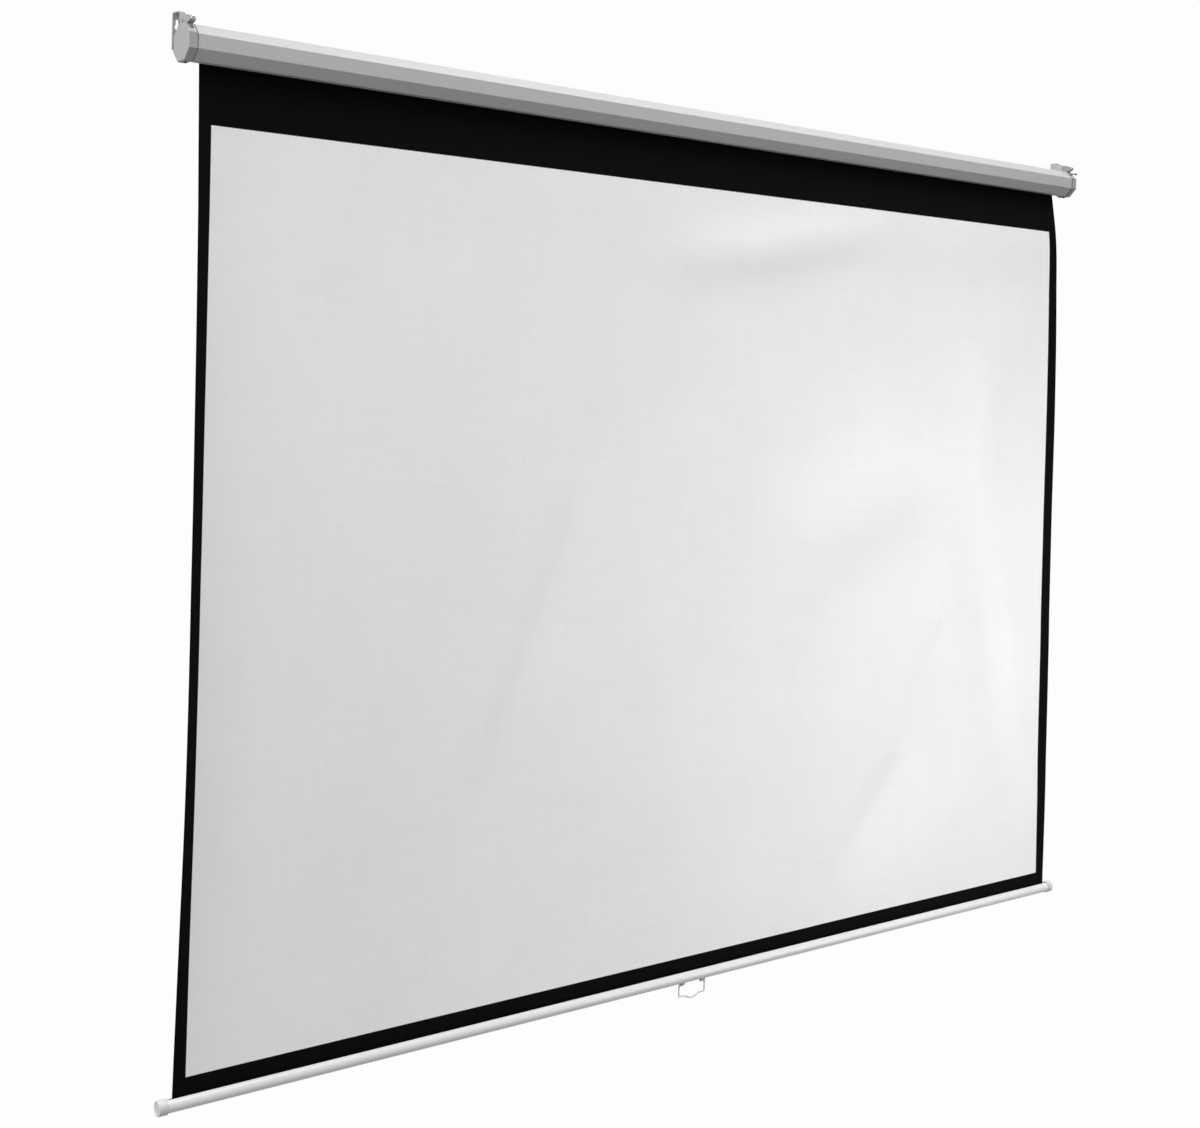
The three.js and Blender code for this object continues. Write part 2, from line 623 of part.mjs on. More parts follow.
// The left end of the roller: a bush in the web, a plug in the tube and the gudgeon that joins them
function idleBush() {
  const bore = GUDGEON_RADIUS + FIT;
  const outer = bore + BUSH_WALL;
  const inside = WEB_X - FIT;
  const end = CAP_X;
  return revolveAboutX([
    [bore, inside - BUSH_FLANGE_THICK], [outer + BUSH_FLANGE_WIDTH, inside - BUSH_FLANGE_THICK],
    [outer + BUSH_FLANGE_WIDTH, inside], [outer, inside], [outer, end], [bore, end],
    [bore, inside - BUSH_FLANGE_THICK],
  ]);
}

function idlePlug() {
  const bore = GUDGEON_RADIUS + FIT;
  const body = ROLLER_BORE - FIT;
  const face = ROLLER_HALF + FIT;
  const flange = face + PLUG_FLANGE;
  const foot = ROLLER_HALF - PLUG_LENGTH;
  return revolveAboutX([
    [bore, foot], [body, foot], [body, face], [ROLLER_RADIUS, face], [ROLLER_RADIUS, flange],
    [bore + BUSH_WALL, flange], [bore + BUSH_WALL, WEB_X - BUSH_FLANGE_THICK - 3 * FIT],
    [bore, WEB_X - BUSH_FLANGE_THICK - 3 * FIT], [bore, foot],
  ]);
}

function gudgeon() {
  return rodAlongX(GUDGEON_RADIUS, WEB_X - GUDGEON_IN, WEB_X + GUDGEON_OUT, ROUND);
}

function onRollerAxis(geometry) {
  geometry.translate(0, ROLLER_Y - CASE_Y, ROLLER_RISE);
  return geometry;
}

addPart(caseGroup, 'idle_bush', mirrored(onRollerAxis(idleBush())), NYLON);
addPart(rollerGroup, 'idle_plug', mirrored(idlePlug()), NYLON);
addPart(rollerGroup, 'gudgeon_pin', mirrored(gudgeon()), ZINC);
addPart(rollerGroup, 'roller_tube', ringAlongX(ROLLER_BORE, ROLLER_RADIUS, -ROLLER_HALF, ROLLER_HALF), ZINC);
const wrapHalf = FABRIC_WIDTH / 2;
addPart(rollerGroup, 'fabric_wraps', ringAlongX(WRAP_INNER, WRAP_OUTER, -wrapHalf, wrapHalf), CLOTH);

// The axle at the right end is held in the web's slot by its flattened blade and never turns
const SPEAR_END_X = WEB_X - SPEAR_REACH;
const CARRIER_FACE_X = ROLLER_HALF + FIT + PLUG_FLANGE;
const PAWL_X = CARRIER_FACE_X + FIT;
const CARRIER_END_X = PAWL_X + PAWL_THICK + 2 * FIT;

function spear() {
  const outer = WEB_X + SPEAR_OUT;
  const rod = rodAlongX(SPEAR_RADIUS, SPEAR_END_X, outer, ROUND);
  const half = SPEAR_BLADE / 2;
  const shoulder = WEB_X - FIT;
  const wide = SPEAR_RADIUS + OVERRUN;
  const front = block(shoulder, outer + OVERRUN, -wide, -half, -wide, wide);
  const back = block(shoulder, outer + OVERRUN, half, wide, -wide, wide);
  return cut(rod, front, back);
}

// The ratchet sleeve on the axle: a ring with a notch for each quarter turn
function ratchetShape() {
  const shape = new THREE.Shape();
  const half = Math.asin(RATCHET_NOTCH_WIDTH / 2 / RATCHET_RADIUS);
  const ramp = half * RATCHET_RAMP_SHARE;
  for (let i = 0; i < RATCHET_NOTCHES; i += 1) {
    const middle = Math.PI / 4 + i * TURN / RATCHET_NOTCHES;
    const next = middle + TURN / RATCHET_NOTCHES;
    const wall = middle + half;
    const rim = [RATCHET_RADIUS * Math.cos(middle - ramp), RATCHET_RADIUS * Math.sin(middle - ramp)];
    if (i === 0) shape.moveTo(...rim);
    else shape.lineTo(...rim);
    for (const angle of [middle - half, wall]) {
      shape.lineTo(RATCHET_ROOT_RADIUS * Math.cos(angle), RATCHET_ROOT_RADIUS * Math.sin(angle));
    }
    shape.absarc(0, 0, RATCHET_RADIUS, wall, next - ramp);
  }
  const bore = new THREE.Path();
  bore.absarc(0, 0, AXLE_BORE, 0, TURN, true);
  shape.holes.push(bore);
  return shape;
}

function mandrel() {
  const end = SPEAR_END_X + FIT;
  const collarEnd = end + MANDREL_LENGTH;
  const collarStart = collarEnd - MANDREL_COLLAR;
  const collar = MANDREL_RADIUS + MANDREL_COLLAR_RIM;
  return revolveAboutX([
    [AXLE_BORE, end], [MANDREL_RADIUS, end], [MANDREL_RADIUS, collarStart],
    [collar, collarStart], [collar, collarEnd], [AXLE_BORE, collarEnd], [AXLE_BORE, end],
  ]);
}

// The torsion spring: one unbroken helix whose ends run straight along the axis for one wire
const SPRING_START_X = SPEAR_END_X + MANDREL_LENGTH - MANDREL_COLLAR;

class SpringCurve extends THREE.Curve {
  getPoint(share) {
    const straight = SPRING_WIRE;
    const coil = SPRING_TURNS * SPRING_PITCH;
    const along = share * (coil + 2 * straight) - straight;
    const inCoil = Math.min(Math.max(along, 0), coil);
    const angle = inCoil / SPRING_PITCH * TURN;
    return new THREE.Vector3(
      SPRING_START_X - FIT - straight - along,
      SPRING_COIL_RADIUS * Math.cos(angle),
      SPRING_COIL_RADIUS * Math.sin(angle),
    );
  }
}

function torsionSpring() {
  const sides = 5;
  const stepsPerTurn = 8;
  const curve = new SpringCurve();
  const steps = SPRING_TURNS * stepsPerTurn + 2;
  const positions = [];
  const index = [];
  const radius = SPRING_WIRE / 2;
  const shareOfStep = (i) => {
    const straight = SPRING_WIRE;
    const coil = SPRING_TURNS * SPRING_PITCH;
    const total = coil + 2 * straight;
    if (i === 0) return 0;
    if (i === steps) return 1;
    return (straight + (i - 1) / (steps - 2) * coil) / total;
  };
  for (let i = 0; i <= steps; i += 1) {
    const centre = curve.getPoint(shareOfStep(i));
    const outward = new THREE.Vector3(0, centre.y, centre.z).normalize();
    const end = i === 0 || i === steps;
    const around = new THREE.Vector3(0, -outward.z, outward.y);
    const lean = end ? around : new THREE.Vector3(1, 0, 0);
    for (let k = 0; k < sides; k += 1) {
      const angle = k / sides * TURN;
      const corner = centre.clone();
      corner.addScaledVector(outward, radius * Math.cos(angle));
      corner.addScaledVector(lean, radius * Math.sin(angle));
      positions.push(corner.x, corner.y, corner.z);
    }
  }
  for (let i = 0; i < steps; i += 1) {
    for (let k = 0; k < sides; k += 1) {
      const next = (k + 1) % sides;
      const a = i * sides + k;
      const b = i * sides + next;
      index.push(a, b, a + sides, b, b + sides, a + sides);
    }
  }
  const last = steps * sides;
  for (let k = 1; k < sides - 1; k += 1) {
    index.push(0, k + 1, k);
    index.push(last, last + k, last + k + 1);
  }
  const geometry = new THREE.BufferGeometry();
  geometry.setAttribute('position', new THREE.Float32BufferAttribute(positions, 3));
  geometry.setIndex(index);
  return weld(geometry);
}
const springGap = SPRING_PITCH - SPRING_WIRE;
console.log(`least gap between the spring's turns: ${springGap.toFixed(2)} mm`);

// The plug inside the tube that the spring's far end turns with
function springAnchor() {
  const springLength = SPRING_TURNS * SPRING_PITCH + 2 * SPRING_WIRE;
  const springEnd = SPRING_START_X - springLength - 2 * FIT;
  const body = ROLLER_BORE - FIT;
  return revolveAboutX([
    [0, springEnd - ANCHOR_LENGTH], [body, springEnd - ANCHOR_LENGTH], [body, springEnd],
    [MANDREL_RADIUS, springEnd], [MANDREL_RADIUS, springEnd + ANCHOR_NOSE_LENGTH],
    [0, springEnd + ANCHOR_NOSE_LENGTH],
  ]);
}

// The plug at the right end of the tube carries the two pawls in a shallow room in its face
function pawlCarrier() {
  const body = ROLLER_BORE - FIT;
  const foot = ROLLER_HALF - PLUG_LENGTH;
  const face = ROLLER_HALF + FIT;
  const plug = revolveAboutX([
    [AXLE_BORE, foot], [body, foot], [body, face], [ROLLER_RADIUS, face],
    [ROLLER_RADIUS, CARRIER_END_X], [PAWL_ROOM_RADIUS, CARRIER_END_X],
    [PAWL_ROOM_RADIUS, CARRIER_FACE_X], [AXLE_BORE, CARRIER_FACE_X], [AXLE_BORE, foot],
  ]);
  const depth = PLUG_FLANGE + CARRIER_DISC * 2;
  const holes = [1, -1].map((side) => {
    const hole = rodAlongX(PAWL_PIN_RADIUS + FIT, CARRIER_FACE_X - depth - FIT, CARRIER_END_X + OVERRUN);
    hole.translate(0, 0, side * PAWL_PIVOT_RADIUS);
    return hole;
  });
  return cut(plug, ...holes);
}

function pawlPin(side) {
  const depth = PLUG_FLANGE + CARRIER_DISC * 2;
  const pin = rodAlongX(PAWL_PIN_RADIUS, CARRIER_FACE_X - depth, CARRIER_END_X);
  pin.translate(0, 0, side * PAWL_PIVOT_RADIUS);
  return pin;
}

// A pawl, drawn for the top pivot: a boss round the pin and an arm that points at the ratchet
function pawl(side) {
  const towards = new THREE.Vector2(-Math.sin(PAWL_LIFT), -Math.cos(PAWL_LIFT));
  const across = new THREE.Vector2(-towards.y, towards.x);
  const tip = towards.clone().multiplyScalar(PAWL_ARM);
  const angle = Math.atan2(across.y, across.x);
  const shape = new THREE.Shape();
  shape.absarc(0, 0, PAWL_BOSS_RADIUS, angle, angle + Math.PI);
  shape.absarc(tip.x, tip.y, PAWL_NOSE_RADIUS, angle + Math.PI, angle + TURN);
  const bore = new THREE.Path();
  bore.absarc(0, 0, PAWL_PIN_RADIUS + FIT, 0, TURN, true);
  shape.holes.push(bore);
  const arm = extrudeAlongX(shape, PAWL_X, PAWL_X + PAWL_THICK, { curveSegments: 8 });
  arm.translate(0, 0, PAWL_PIVOT_RADIUS);
  if (side < 0) arm.rotateX(Math.PI);
  return arm;
}

addPart(caseGroup, 'spear_axle', onRollerAxis(spear()), ZINC);
const ratchet = extrudeAlongX(ratchetShape(), PAWL_X, PAWL_X + PAWL_THICK, { curveSegments: 8 });
addPart(caseGroup, 'ratchet_sleeve', onRollerAxis(ratchet), SPRING_STEEL);
addPart(caseGroup, 'spring_mandrel', onRollerAxis(mandrel()), NYLON);
addPart(caseGroup, 'torsion_spring', onRollerAxis(torsionSpring()), SPRING_STEEL);
addPart(rollerGroup, 'spring_anchor', springAnchor(), NYLON);
addPart(rollerGroup, 'pawl_carrier', pawlCarrier(), NYLON);
addPart(rollerGroup, 'pawl_pin_a', pawlPin(1), ZINC);
addPart(rollerGroup, 'pawl_pin_b', pawlPin(-1), ZINC);
addPart(rollerGroup, 'pawl_a', pawl(1), SPRING_STEEL);
addPart(rollerGroup, 'pawl_b', pawl(-1), SPRING_STEEL);

// The bottom bar: a slotted tube, its caps, and the rod in the cloth's hem
function barTube() {
  const slotHalf = Math.asin(BAR_SLOT / 2 / BAR_RADIUS);
  const inner = BAR_RADIUS - BAR_WALL;
  const innerHalf = Math.asin(BAR_SLOT / 2 / inner);
  const top = Math.PI / 2;
  const shape = new THREE.Shape();
  shape.absarc(0, 0, BAR_RADIUS, top + slotHalf, top + TURN - slotHalf);
  shape.absarc(0, 0, inner, top + TURN - innerHalf, top + innerHalf, true);
  return extrudeAlongX(shape, -BAR_TUBE_HALF, BAR_TUBE_HALF, { curveSegments: 36 });
}

function barCap() {
  const cavity = BAR_RADIUS + FIT;
  const mouth = BAR_END - BAR_CAP_LENGTH;
  const floor = BAR_END - BAR_CAP_END;
  const round = BAR_CAP_ROUND;
  const points = [[0, floor], [cavity, floor], [cavity, mouth], [BAR_CAP_RADIUS, mouth]];
  for (let i = 0; i <= 3; i += 1) {
    const angle = i / 3 * Math.PI / 2;
    points.push([
      BAR_CAP_RADIUS - round + round * Math.cos(angle), BAR_END - round + round * Math.sin(angle),
    ]);
  }
  points.push([0, BAR_END]);
  return revolveAboutX(points);
}

addPart(barGroup, 'bar_tube', barTube(), WHITE_STEEL);
addPart(barGroup, 'bar_cap_left', mirrored(barCap()), WHITE_PLASTIC);
addPart(barGroup, 'bar_cap_right', barCap(), WHITE_PLASTIC);
const hemRod = rodAlongX(HEM_ROD_RADIUS, -FABRIC_WIDTH / 2, FABRIC_WIDTH / 2);
hemRod.translate(0, 0, HEM_ROD_RISE);
addPart(barGroup, 'hem_rod', hemRod, ZINC);

// The hanging cloth: it leaves the roller behind, drops through the slot, bellies forward
// a little and ends in a hem round the rod inside the bar

// Share of the greatest belly at a share of the drop; peak is where it is greatest
function bellyShare(depthShare, rise, fall) {
  const peak = rise / (rise + fall);
  const up = Math.pow(depthShare / peak, rise);
  const down = Math.pow((1 - depthShare) / (1 - peak), fall);
  return up * down;
}

const LEFT_RISE_SHARE = 0.8;
const LEFT_FALL_SHARE = 0.63;
const RIGHT_RISE_SHARE = 0.25;
const RIGHT_FALL_SHARE = 1.6;
const CURL_POWER = 1.3; // how sharply the curl dies away from the edge
const CURL_EASE = 0.8; // and from the middle height towards roller and bar
const CURL_COLUMNS = [0, 0.4, 1, 1.8]; // places of the edge columns, in curl reaches

function clothForward(x, depthShare) {
  if (depthShare <= 0 || depthShare >= 1) return 0;
  const right = x / FABRIC_WIDTH + 1 / 2;
  const rise = THREE.MathUtils.lerp(LEFT_RISE_SHARE, RIGHT_RISE_SHARE, right);
  const fall = THREE.MathUtils.lerp(LEFT_FALL_SHARE, RIGHT_FALL_SHARE, right);
  const belly = THREE.MathUtils.lerp(BELLY_LEFT, BELLY_RIGHT, right) * bellyShare(depthShare, rise, fall);
  const held = Math.sin(Math.PI * depthShare);
  const fold = FOLD_DEPTH * held * Math.sin(TURN * x / FOLD_PITCH);
  const slant = x + depthShare * FABRIC_DROP / 2;
  const ripple = RIPPLE_DEPTH * held * right * right * Math.sin(TURN * slant / RIPPLE_PITCH);
  const edge = FABRIC_WIDTH / 2 - Math.abs(x);
  const curl = (x < 0 ? CURL_LEFT : CURL_RIGHT) * Math.pow(held, CURL_EASE)
    * Math.exp(-Math.pow(edge / CURL_REACH, CURL_POWER));
  return belly + fold + ripple + curl;
}

// Where the columns lie across the flat cloth: even ones, and closer ones next to both edges
function clothColumns() {
  const edge = FABRIC_WIDTH / 2;
  const near = CURL_COLUMNS.map((share) => share * CURL_REACH - edge);
  const evenColumns = 14;
  const start = near[near.length - 1];
  const even = [];
  for (let i = 1; i < evenColumns; i += 1) even.push(start - 2 * start * i / evenColumns);
  return [...near, ...even, ...near.map((x) => -x).reverse()];
}

// A curled row is narrower than the flat cloth, because the cloth doesn't stretch
function drawnIn(stops, depths) {
  const drawn = stops.slice();
  const middle = (stops.length - 1) / 2;
  for (const way of [-1, 1]) {
    for (let i = middle; i + way >= 0 && i + way < stops.length; i += way) {
      const along = stops[i + way] - stops[i];
      drawn[i + way] = drawn[i] + way * Math.sqrt(along * along - (depths[i + way] - depths[i]) ** 2);
    }
  }
  return drawn;
}

function screenFabric() {
  const stops = clothColumns();
  const columns = stops.length - 1;
  const rowShares = [0.02, 0.05, 0.09, 0.15, 0.22, 0.3, 0.39, 0.48, 0.57, 0.66, 0.75, 0.83, 0.9, 0.96];
  const half = FABRIC_THICK / 2;
  const rodZ = BAR_Z + HEM_ROD_RISE;
  const loop = HEM_ROD_RADIUS + FIT + half;
  const rows = [];
  rows.push((x) => [FABRIC_Y, ROLLER_RISE, 0]);
  rows.push((x) => [FABRIC_Y, -CASE_R, 0]);
  for (const share of rowShares) {
    rows.push((x) => {
      const z = -CASE_R - share * FABRIC_DROP;
      return [FABRIC_Y - clothForward(x, share), z, 0];
    });
  }
  rows.push(() => [FABRIC_Y, BAR_TOP, 0]);
  rows.push(() => [FABRIC_Y, rodZ + loop + 2 * FIT, 0]);
  const hemSteps = 9;
  const hemSweep = TURN * 7 / 8;
  for (let i = 1; i <= hemSteps; i += 1) {
    const angle = i / hemSteps * hemSweep;
    rows.push(() => [FABRIC_Y - loop * Math.sin(angle), rodZ + loop * Math.cos(angle), angle]);
  }
  const positions = [];
  const count = columns + 1;
  for (const side of [-1, 1]) {
    for (const row of rows) {
      const places = stops.map((x) => row(x));
      const drawn = drawnIn(stops, places.map(([y]) => y));
      places.forEach(([y, z, angle], c) => {
        positions.push(drawn[c], y + side * half * Math.cos(angle), z + side * half * Math.sin(angle));
      });
    }
  }
  const layer = rows.length * count;
  const index = [];
  const quad = (a, b, c, d) => index.push(a, b, c, a, c, d);
  for (let r = 0; r < rows.length - 1; r += 1) {
    for (let c = 0; c < columns; c += 1) {
      const a = r * count + c;
      quad(a, a + 1, a + 1 + count, a + count);
      quad(layer + a, layer + a + count, layer + a + 1 + count, layer + a + 1);
    }
    const left = r * count;
    const rightEdge = left + columns;
    quad(left, left + count, layer + left + count, layer + left);
    quad(rightEdge, layer + rightEdge, layer + rightEdge + count, rightEdge + count);
  }
  const bottom = (rows.length - 1) * count;
  for (let c = 0; c < columns; c += 1) {
    quad(c, layer + c, layer + c + 1, c + 1);
    quad(bottom + c, bottom + c + 1, layer + bottom + c + 1, layer + bottom + c);
  }
  const geometry = new THREE.BufferGeometry();
  geometry.setAttribute('position', new THREE.Float32BufferAttribute(positions, 3));
  geometry.setIndex(index);
  return weld(geometry);
}

addPart(screen, 'screen_fabric', screenFabric(), CLOTH);

// The pull handle: a wire bail with square shoulders, bowed between them, whose ends turn
// inwards into two clips under the bar
function bailPath() {
  const half = HANDLE_WIDTH / 2;
  const corner = HANDLE_WIRE;
  const point = (x, z) => new THREE.Vector3(x, 0, z);
  const path = new THREE.CurvePath();
  const bend = (...points) => new THREE.QuadraticBezierCurve3(...points);
  path.add(new THREE.LineCurve3(point(-half + HANDLE_TURN_IN, 0), point(-half + corner, 0)));
  path.add(bend(point(-half + corner, 0), point(-half, 0), point(-half, -corner)));
  path.add(new THREE.LineCurve3(point(-half, -corner), point(-half, -HANDLE_LEG)));
  const low = -HANDLE_LEG - corner;
  const bow = half - corner - HANDLE_SHOULDER;
  path.add(bend(point(-half, -HANDLE_LEG), point(-half, low), point(-half + corner, low)));
  path.add(new THREE.LineCurve3(point(-half + corner, low), point(-bow, low)));
  for (const [from, to] of [[-bow, 0], [0, bow]]) {
    const [start, end] = from < 0 ? [low, low - HANDLE_BOW] : [low - HANDLE_BOW, low];
    const between = (from + to) / 2;
    path.add(new THREE.CubicBezierCurve3(
      point(from, start), point(between, start), point(between, end), point(to, end),
    ));
  }
  path.add(new THREE.LineCurve3(point(bow, low), point(half - corner, low)));
  path.add(bend(point(half - corner, low), point(half, low), point(half, -HANDLE_LEG)));
  path.add(new THREE.LineCurve3(point(half, -HANDLE_LEG), point(half, -corner)));
  path.add(bend(point(half, -corner), point(half, 0), point(half - corner, 0)));
  path.add(new THREE.LineCurve3(point(half - corner, 0), point(half - HANDLE_TURN_IN, 0)));
  return path;
}

function pullHandle() {
  const section = new THREE.Shape();
  section.absarc(0, 0, HANDLE_WIRE / 2, 0, TURN);
  return new THREE.ExtrudeGeometry(section, {
    steps: 64, extrudePath: bailPath(), curveSegments: 4, bevelEnabled: false,
  });
}

// A clip: a saddle under the bar with a barrel that the bail's end turns in
function handleClip() {
  const outer = HANDLE_WIDTH / 2 - HANDLE_WIRE;
  const inner = outer - CLIP_LENGTH;
  const barrel = rodAlongX(CLIP_RADIUS, inner, outer);
  barrel.translate(0, 0, HANDLE_PIVOT_Z);
  const under = -(BAR_RADIUS + FIT + CLIP_SADDLE);
  const saddle = block(inner, outer, -CLIP_REACH, CLIP_REACH, under, under + CLIP_REACH);
  const bar = rodAlongX(BAR_RADIUS + FIT, inner - OVERRUN, outer + OVERRUN, ROUND);
  const hole = rodAlongX(HANDLE_WIRE / 2 + FIT, HANDLE_WIDTH / 2 - HANDLE_TURN_IN - FIT, outer + OVERRUN);
  hole.translate(0, 0, HANDLE_PIVOT_Z);
  return cut(join(saddle, barrel), bar, hole);
}

const handleGroup = new THREE.Group();
handleGroup.position.set(HANDLE_OFFSET, 0, 0);
barGroup.add(handleGroup);
const bail = addPart(handleGroup, 'pull_handle', pullHandle(), HANDLE_STEEL);
bail.position.set(0, 0, HANDLE_PIVOT_Z);
addPart(handleGroup, 'handle_clip_left', mirrored(handleClip()), WHITE_PLASTIC);
addPart(handleGroup, 'handle_clip_right', handleClip(), WHITE_PLASTIC);

export default screen;
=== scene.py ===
# %% [markdown]
# A pull-down projector screen hangs on two steel wall brackets. A long eight-sided case hides a
# spring roller, the cloth drops through a slot under it, and a white tube with a wire handle
# weighs the cloth down. The rigid parts come from a measured model, which is loaded first and
# never moved. Everything made here is in metres in that model's frame: X along the case,
# Z up, and the wall at Y = 0 with the viewer at negative Y.

# %% Load the measured model
import json
import math

import bpy
import numpy as np
from mathutils import Matrix, Vector, noise

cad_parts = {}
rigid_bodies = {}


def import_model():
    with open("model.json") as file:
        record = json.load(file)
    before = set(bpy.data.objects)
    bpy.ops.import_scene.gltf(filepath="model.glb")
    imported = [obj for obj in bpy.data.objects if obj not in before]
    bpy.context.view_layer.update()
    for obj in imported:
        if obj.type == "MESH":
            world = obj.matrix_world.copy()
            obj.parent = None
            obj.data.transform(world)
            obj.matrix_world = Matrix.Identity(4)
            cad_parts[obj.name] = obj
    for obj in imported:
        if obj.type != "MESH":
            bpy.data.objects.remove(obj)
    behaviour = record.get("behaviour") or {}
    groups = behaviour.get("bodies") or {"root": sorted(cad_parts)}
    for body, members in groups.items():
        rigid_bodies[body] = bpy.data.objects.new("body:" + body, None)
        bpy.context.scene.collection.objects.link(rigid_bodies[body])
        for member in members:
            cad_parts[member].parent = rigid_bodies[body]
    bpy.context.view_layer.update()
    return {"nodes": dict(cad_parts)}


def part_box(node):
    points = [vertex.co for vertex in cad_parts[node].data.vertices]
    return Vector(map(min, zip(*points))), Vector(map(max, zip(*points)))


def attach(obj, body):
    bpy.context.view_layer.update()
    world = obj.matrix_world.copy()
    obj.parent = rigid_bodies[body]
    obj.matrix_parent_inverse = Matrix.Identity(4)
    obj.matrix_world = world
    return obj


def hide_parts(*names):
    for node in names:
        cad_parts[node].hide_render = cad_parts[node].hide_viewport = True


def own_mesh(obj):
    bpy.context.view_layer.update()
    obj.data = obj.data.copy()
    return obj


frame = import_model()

case_lo, case_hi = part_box("case_shell")
bar_lo, bar_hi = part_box("bar_tube")

# %% [markdown]
# The camera comes first, because every later comparison with the photograph depends on it. Its
# place was found by laying the case's folds, the cloth's corners and the bar over the picture
# until all of them fell on their lines. The camera stands to the left, level with a line about
# a third of the way down the cloth. Its lens is aimed almost level, so the picture is shifted
# down rather than tilted. A shifted lens keeps upright edges nearly parallel.

# %% Camera
PICTURE_WIDTH = 1200
PICTURE_HEIGHT = 1128
SENSOR_WIDTH = 36
FOCAL_PIXELS = 1687.49
AXIS_ROW = 374.615
camera_place = Vector((-2.5426, -2.8810, -0.6524))
turn_right, tilt_up, roll = 0.6642, 0.0235, -0.0205
forward = Vector((math.sin(turn_right) * math.cos(tilt_up),
                  math.cos(turn_right) * math.cos(tilt_up), math.sin(tilt_up)))
level = Vector((math.cos(turn_right), -math.sin(turn_right), 0))
below = forward.cross(level)
rightward = math.cos(roll) * level + math.sin(roll) * below
downward = -math.sin(roll) * level + math.cos(roll) * below
lens = bpy.data.cameras.new("picture_lens")
lens.sensor_width = SENSOR_WIDTH
lens.lens = SENSOR_WIDTH * FOCAL_PIXELS / PICTURE_WIDTH
lens.shift_y = (AXIS_ROW - PICTURE_HEIGHT / 2) / PICTURE_WIDTH
lens.clip_start, lens.clip_end = 0.05, 200
camera = bpy.data.objects.new("picture_camera", lens)
columns = Matrix((rightward, -downward, -forward)).transposed()
camera.matrix_world = Matrix.Translation(camera_place) @ columns.to_4x4()
bpy.context.scene.collection.objects.link(camera)
bpy.context.scene.camera = camera
print("lens", round(lens.lens, 2), "mm, shift", round(lens.shift_y, 4))

# %% [markdown]
# Modelling by hand always works on what is selected. These small helpers do what a modeller does
# with the mouse: drop the selection, take one piece, and pick corners, edges or faces by where
# they are. Picking by place rather than by number keeps the steps readable, and they still work
# when an earlier step makes more faces.

# %% Helpers for picking
PICK = {"corners": (True, False, False), "edges": (False, True, False),
        "faces": (False, False, True)}


def leave_edit():
    if bpy.context.mode != "OBJECT":
        bpy.ops.object.mode_set(mode="OBJECT")


def take(piece):
    """Makes one piece the only selected and active one."""
    leave_edit()
    bpy.ops.object.select_all(action="DESELECT")
    piece.select_set(True)
    bpy.context.view_layer.objects.active = piece


def drop_all():
    leave_edit()
    bpy.ops.object.select_all(action="DESELECT")


def pick(piece, kind, wanted):
    """Enters edit mode with only the wanted parts selected. wanted gets a corner's point, an
    edge's two ends, or a face's middle and normal."""
    take(piece)
    mesh = piece.data
    for group in (mesh.vertices, mesh.edges, mesh.polygons):
        group.foreach_set("select", [False] * len(group))
    if kind == "corners":
        for corner in mesh.vertices:
            corner.select = bool(wanted(corner.co))
    elif kind == "edges":
        for edge in mesh.edges:
            edge.select = bool(wanted(*(mesh.vertices[i].co for i in edge.vertices)))
    else:
        for face in mesh.polygons:
            face.select = bool(wanted(face.center, face.normal))
    bpy.context.tool_settings.mesh_select_mode = PICK[kind]
    bpy.ops.object.mode_set(mode="EDIT")


def start_piece(name, add_primitive, **settings):
    """Adds a primitive with nothing else selected, and names it."""
    drop_all()
    add_primitive(**settings)
    piece = bpy.context.object
    piece.name = name
    return piece


def fasten_place(piece):
    """Puts a piece's place into its mesh, so that its object sits at the origin."""
    take(piece)
    bpy.ops.object.transform_apply(location=True, rotation=True, scale=True)


def apply_modifier(piece, kind, **settings):
    take(piece)
    modifier = piece.modifiers.new(kind.lower(), kind)
    for name, value in settings.items():
        setattr(modifier, name, value)
    bpy.ops.object.modifier_apply(modifier=modifier.name)


def face_outwards(piece):
    take(piece)
    bpy.ops.object.mode_set(mode="EDIT")
    bpy.ops.mesh.select_all(action="SELECT")
    bpy.ops.mesh.remove_doubles(threshold=1e-6)
    bpy.ops.mesh.normals_make_consistent(inside=False)
    leave_edit()


EDGE_MARK = "rounded_edge"


def mark_edges(piece, width):
    """Marks the narrow faces along rounded edges, for the painted edge highlight in the finishes.
    """
    mesh = piece.data
    marks = mesh.attributes.new(EDGE_MARK, "FLOAT", "CORNER")
    for face in mesh.polygons:
        sides = [mesh.edges[mesh.loops[i].edge_index] for i in face.loop_indices]
        ends = [[mesh.vertices[i].co for i in side.vertices] for side in sides]
        shortest = min((start - end).length for start, end in ends)
        for i in face.loop_indices:
            marks.data[i].value = float(shortest < width)


def soften(piece, width, segments=3, angle=30):
    """Rounds a piece's sharp edges by a small radius and shades it smooth between them."""
    apply_modifier(piece, "BEVEL", width=width, segments=segments, limit_method="ANGLE",
                   angle_limit=math.radians(angle), use_clamp_overlap=True)
    mark_edges(piece, width)
    shade(piece)


def shade(piece, angle=32):
    take(piece)
    bpy.ops.object.shade_smooth_by_angle(angle=math.radians(angle))
    apply_modifier(piece, "WEIGHTED_NORMAL", keep_sharp=True, weight=60)


def triangles(piece):
    return sum(len(face.vertices) - 2 for face in piece.data.polygons)


def finish_piece(piece, body, record_slot, finish, *stands_for):
    """Gives a piece its place, its finish and the body that it moves with."""
    fasten_place(piece)
    piece.data.materials.clear()
    piece.data.materials.append(finish)
    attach(piece, body)
    if stands_for:
        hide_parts(*stands_for)
    print(piece.name, triangles(piece), "triangles on", body)


# %% [markdown]
# The studio is a bright, even room: a pale floor far below the screen and a pale surround. In the
# photograph the object stands free on near-white, so what the camera sees directly is near-white
# too, while the light that reaches the object is stronger from above than from below. That is
# what makes the case's top slant light, its front face grey and its lower slant dark.

# %% Surround
NEAR_WHITE = 0.985


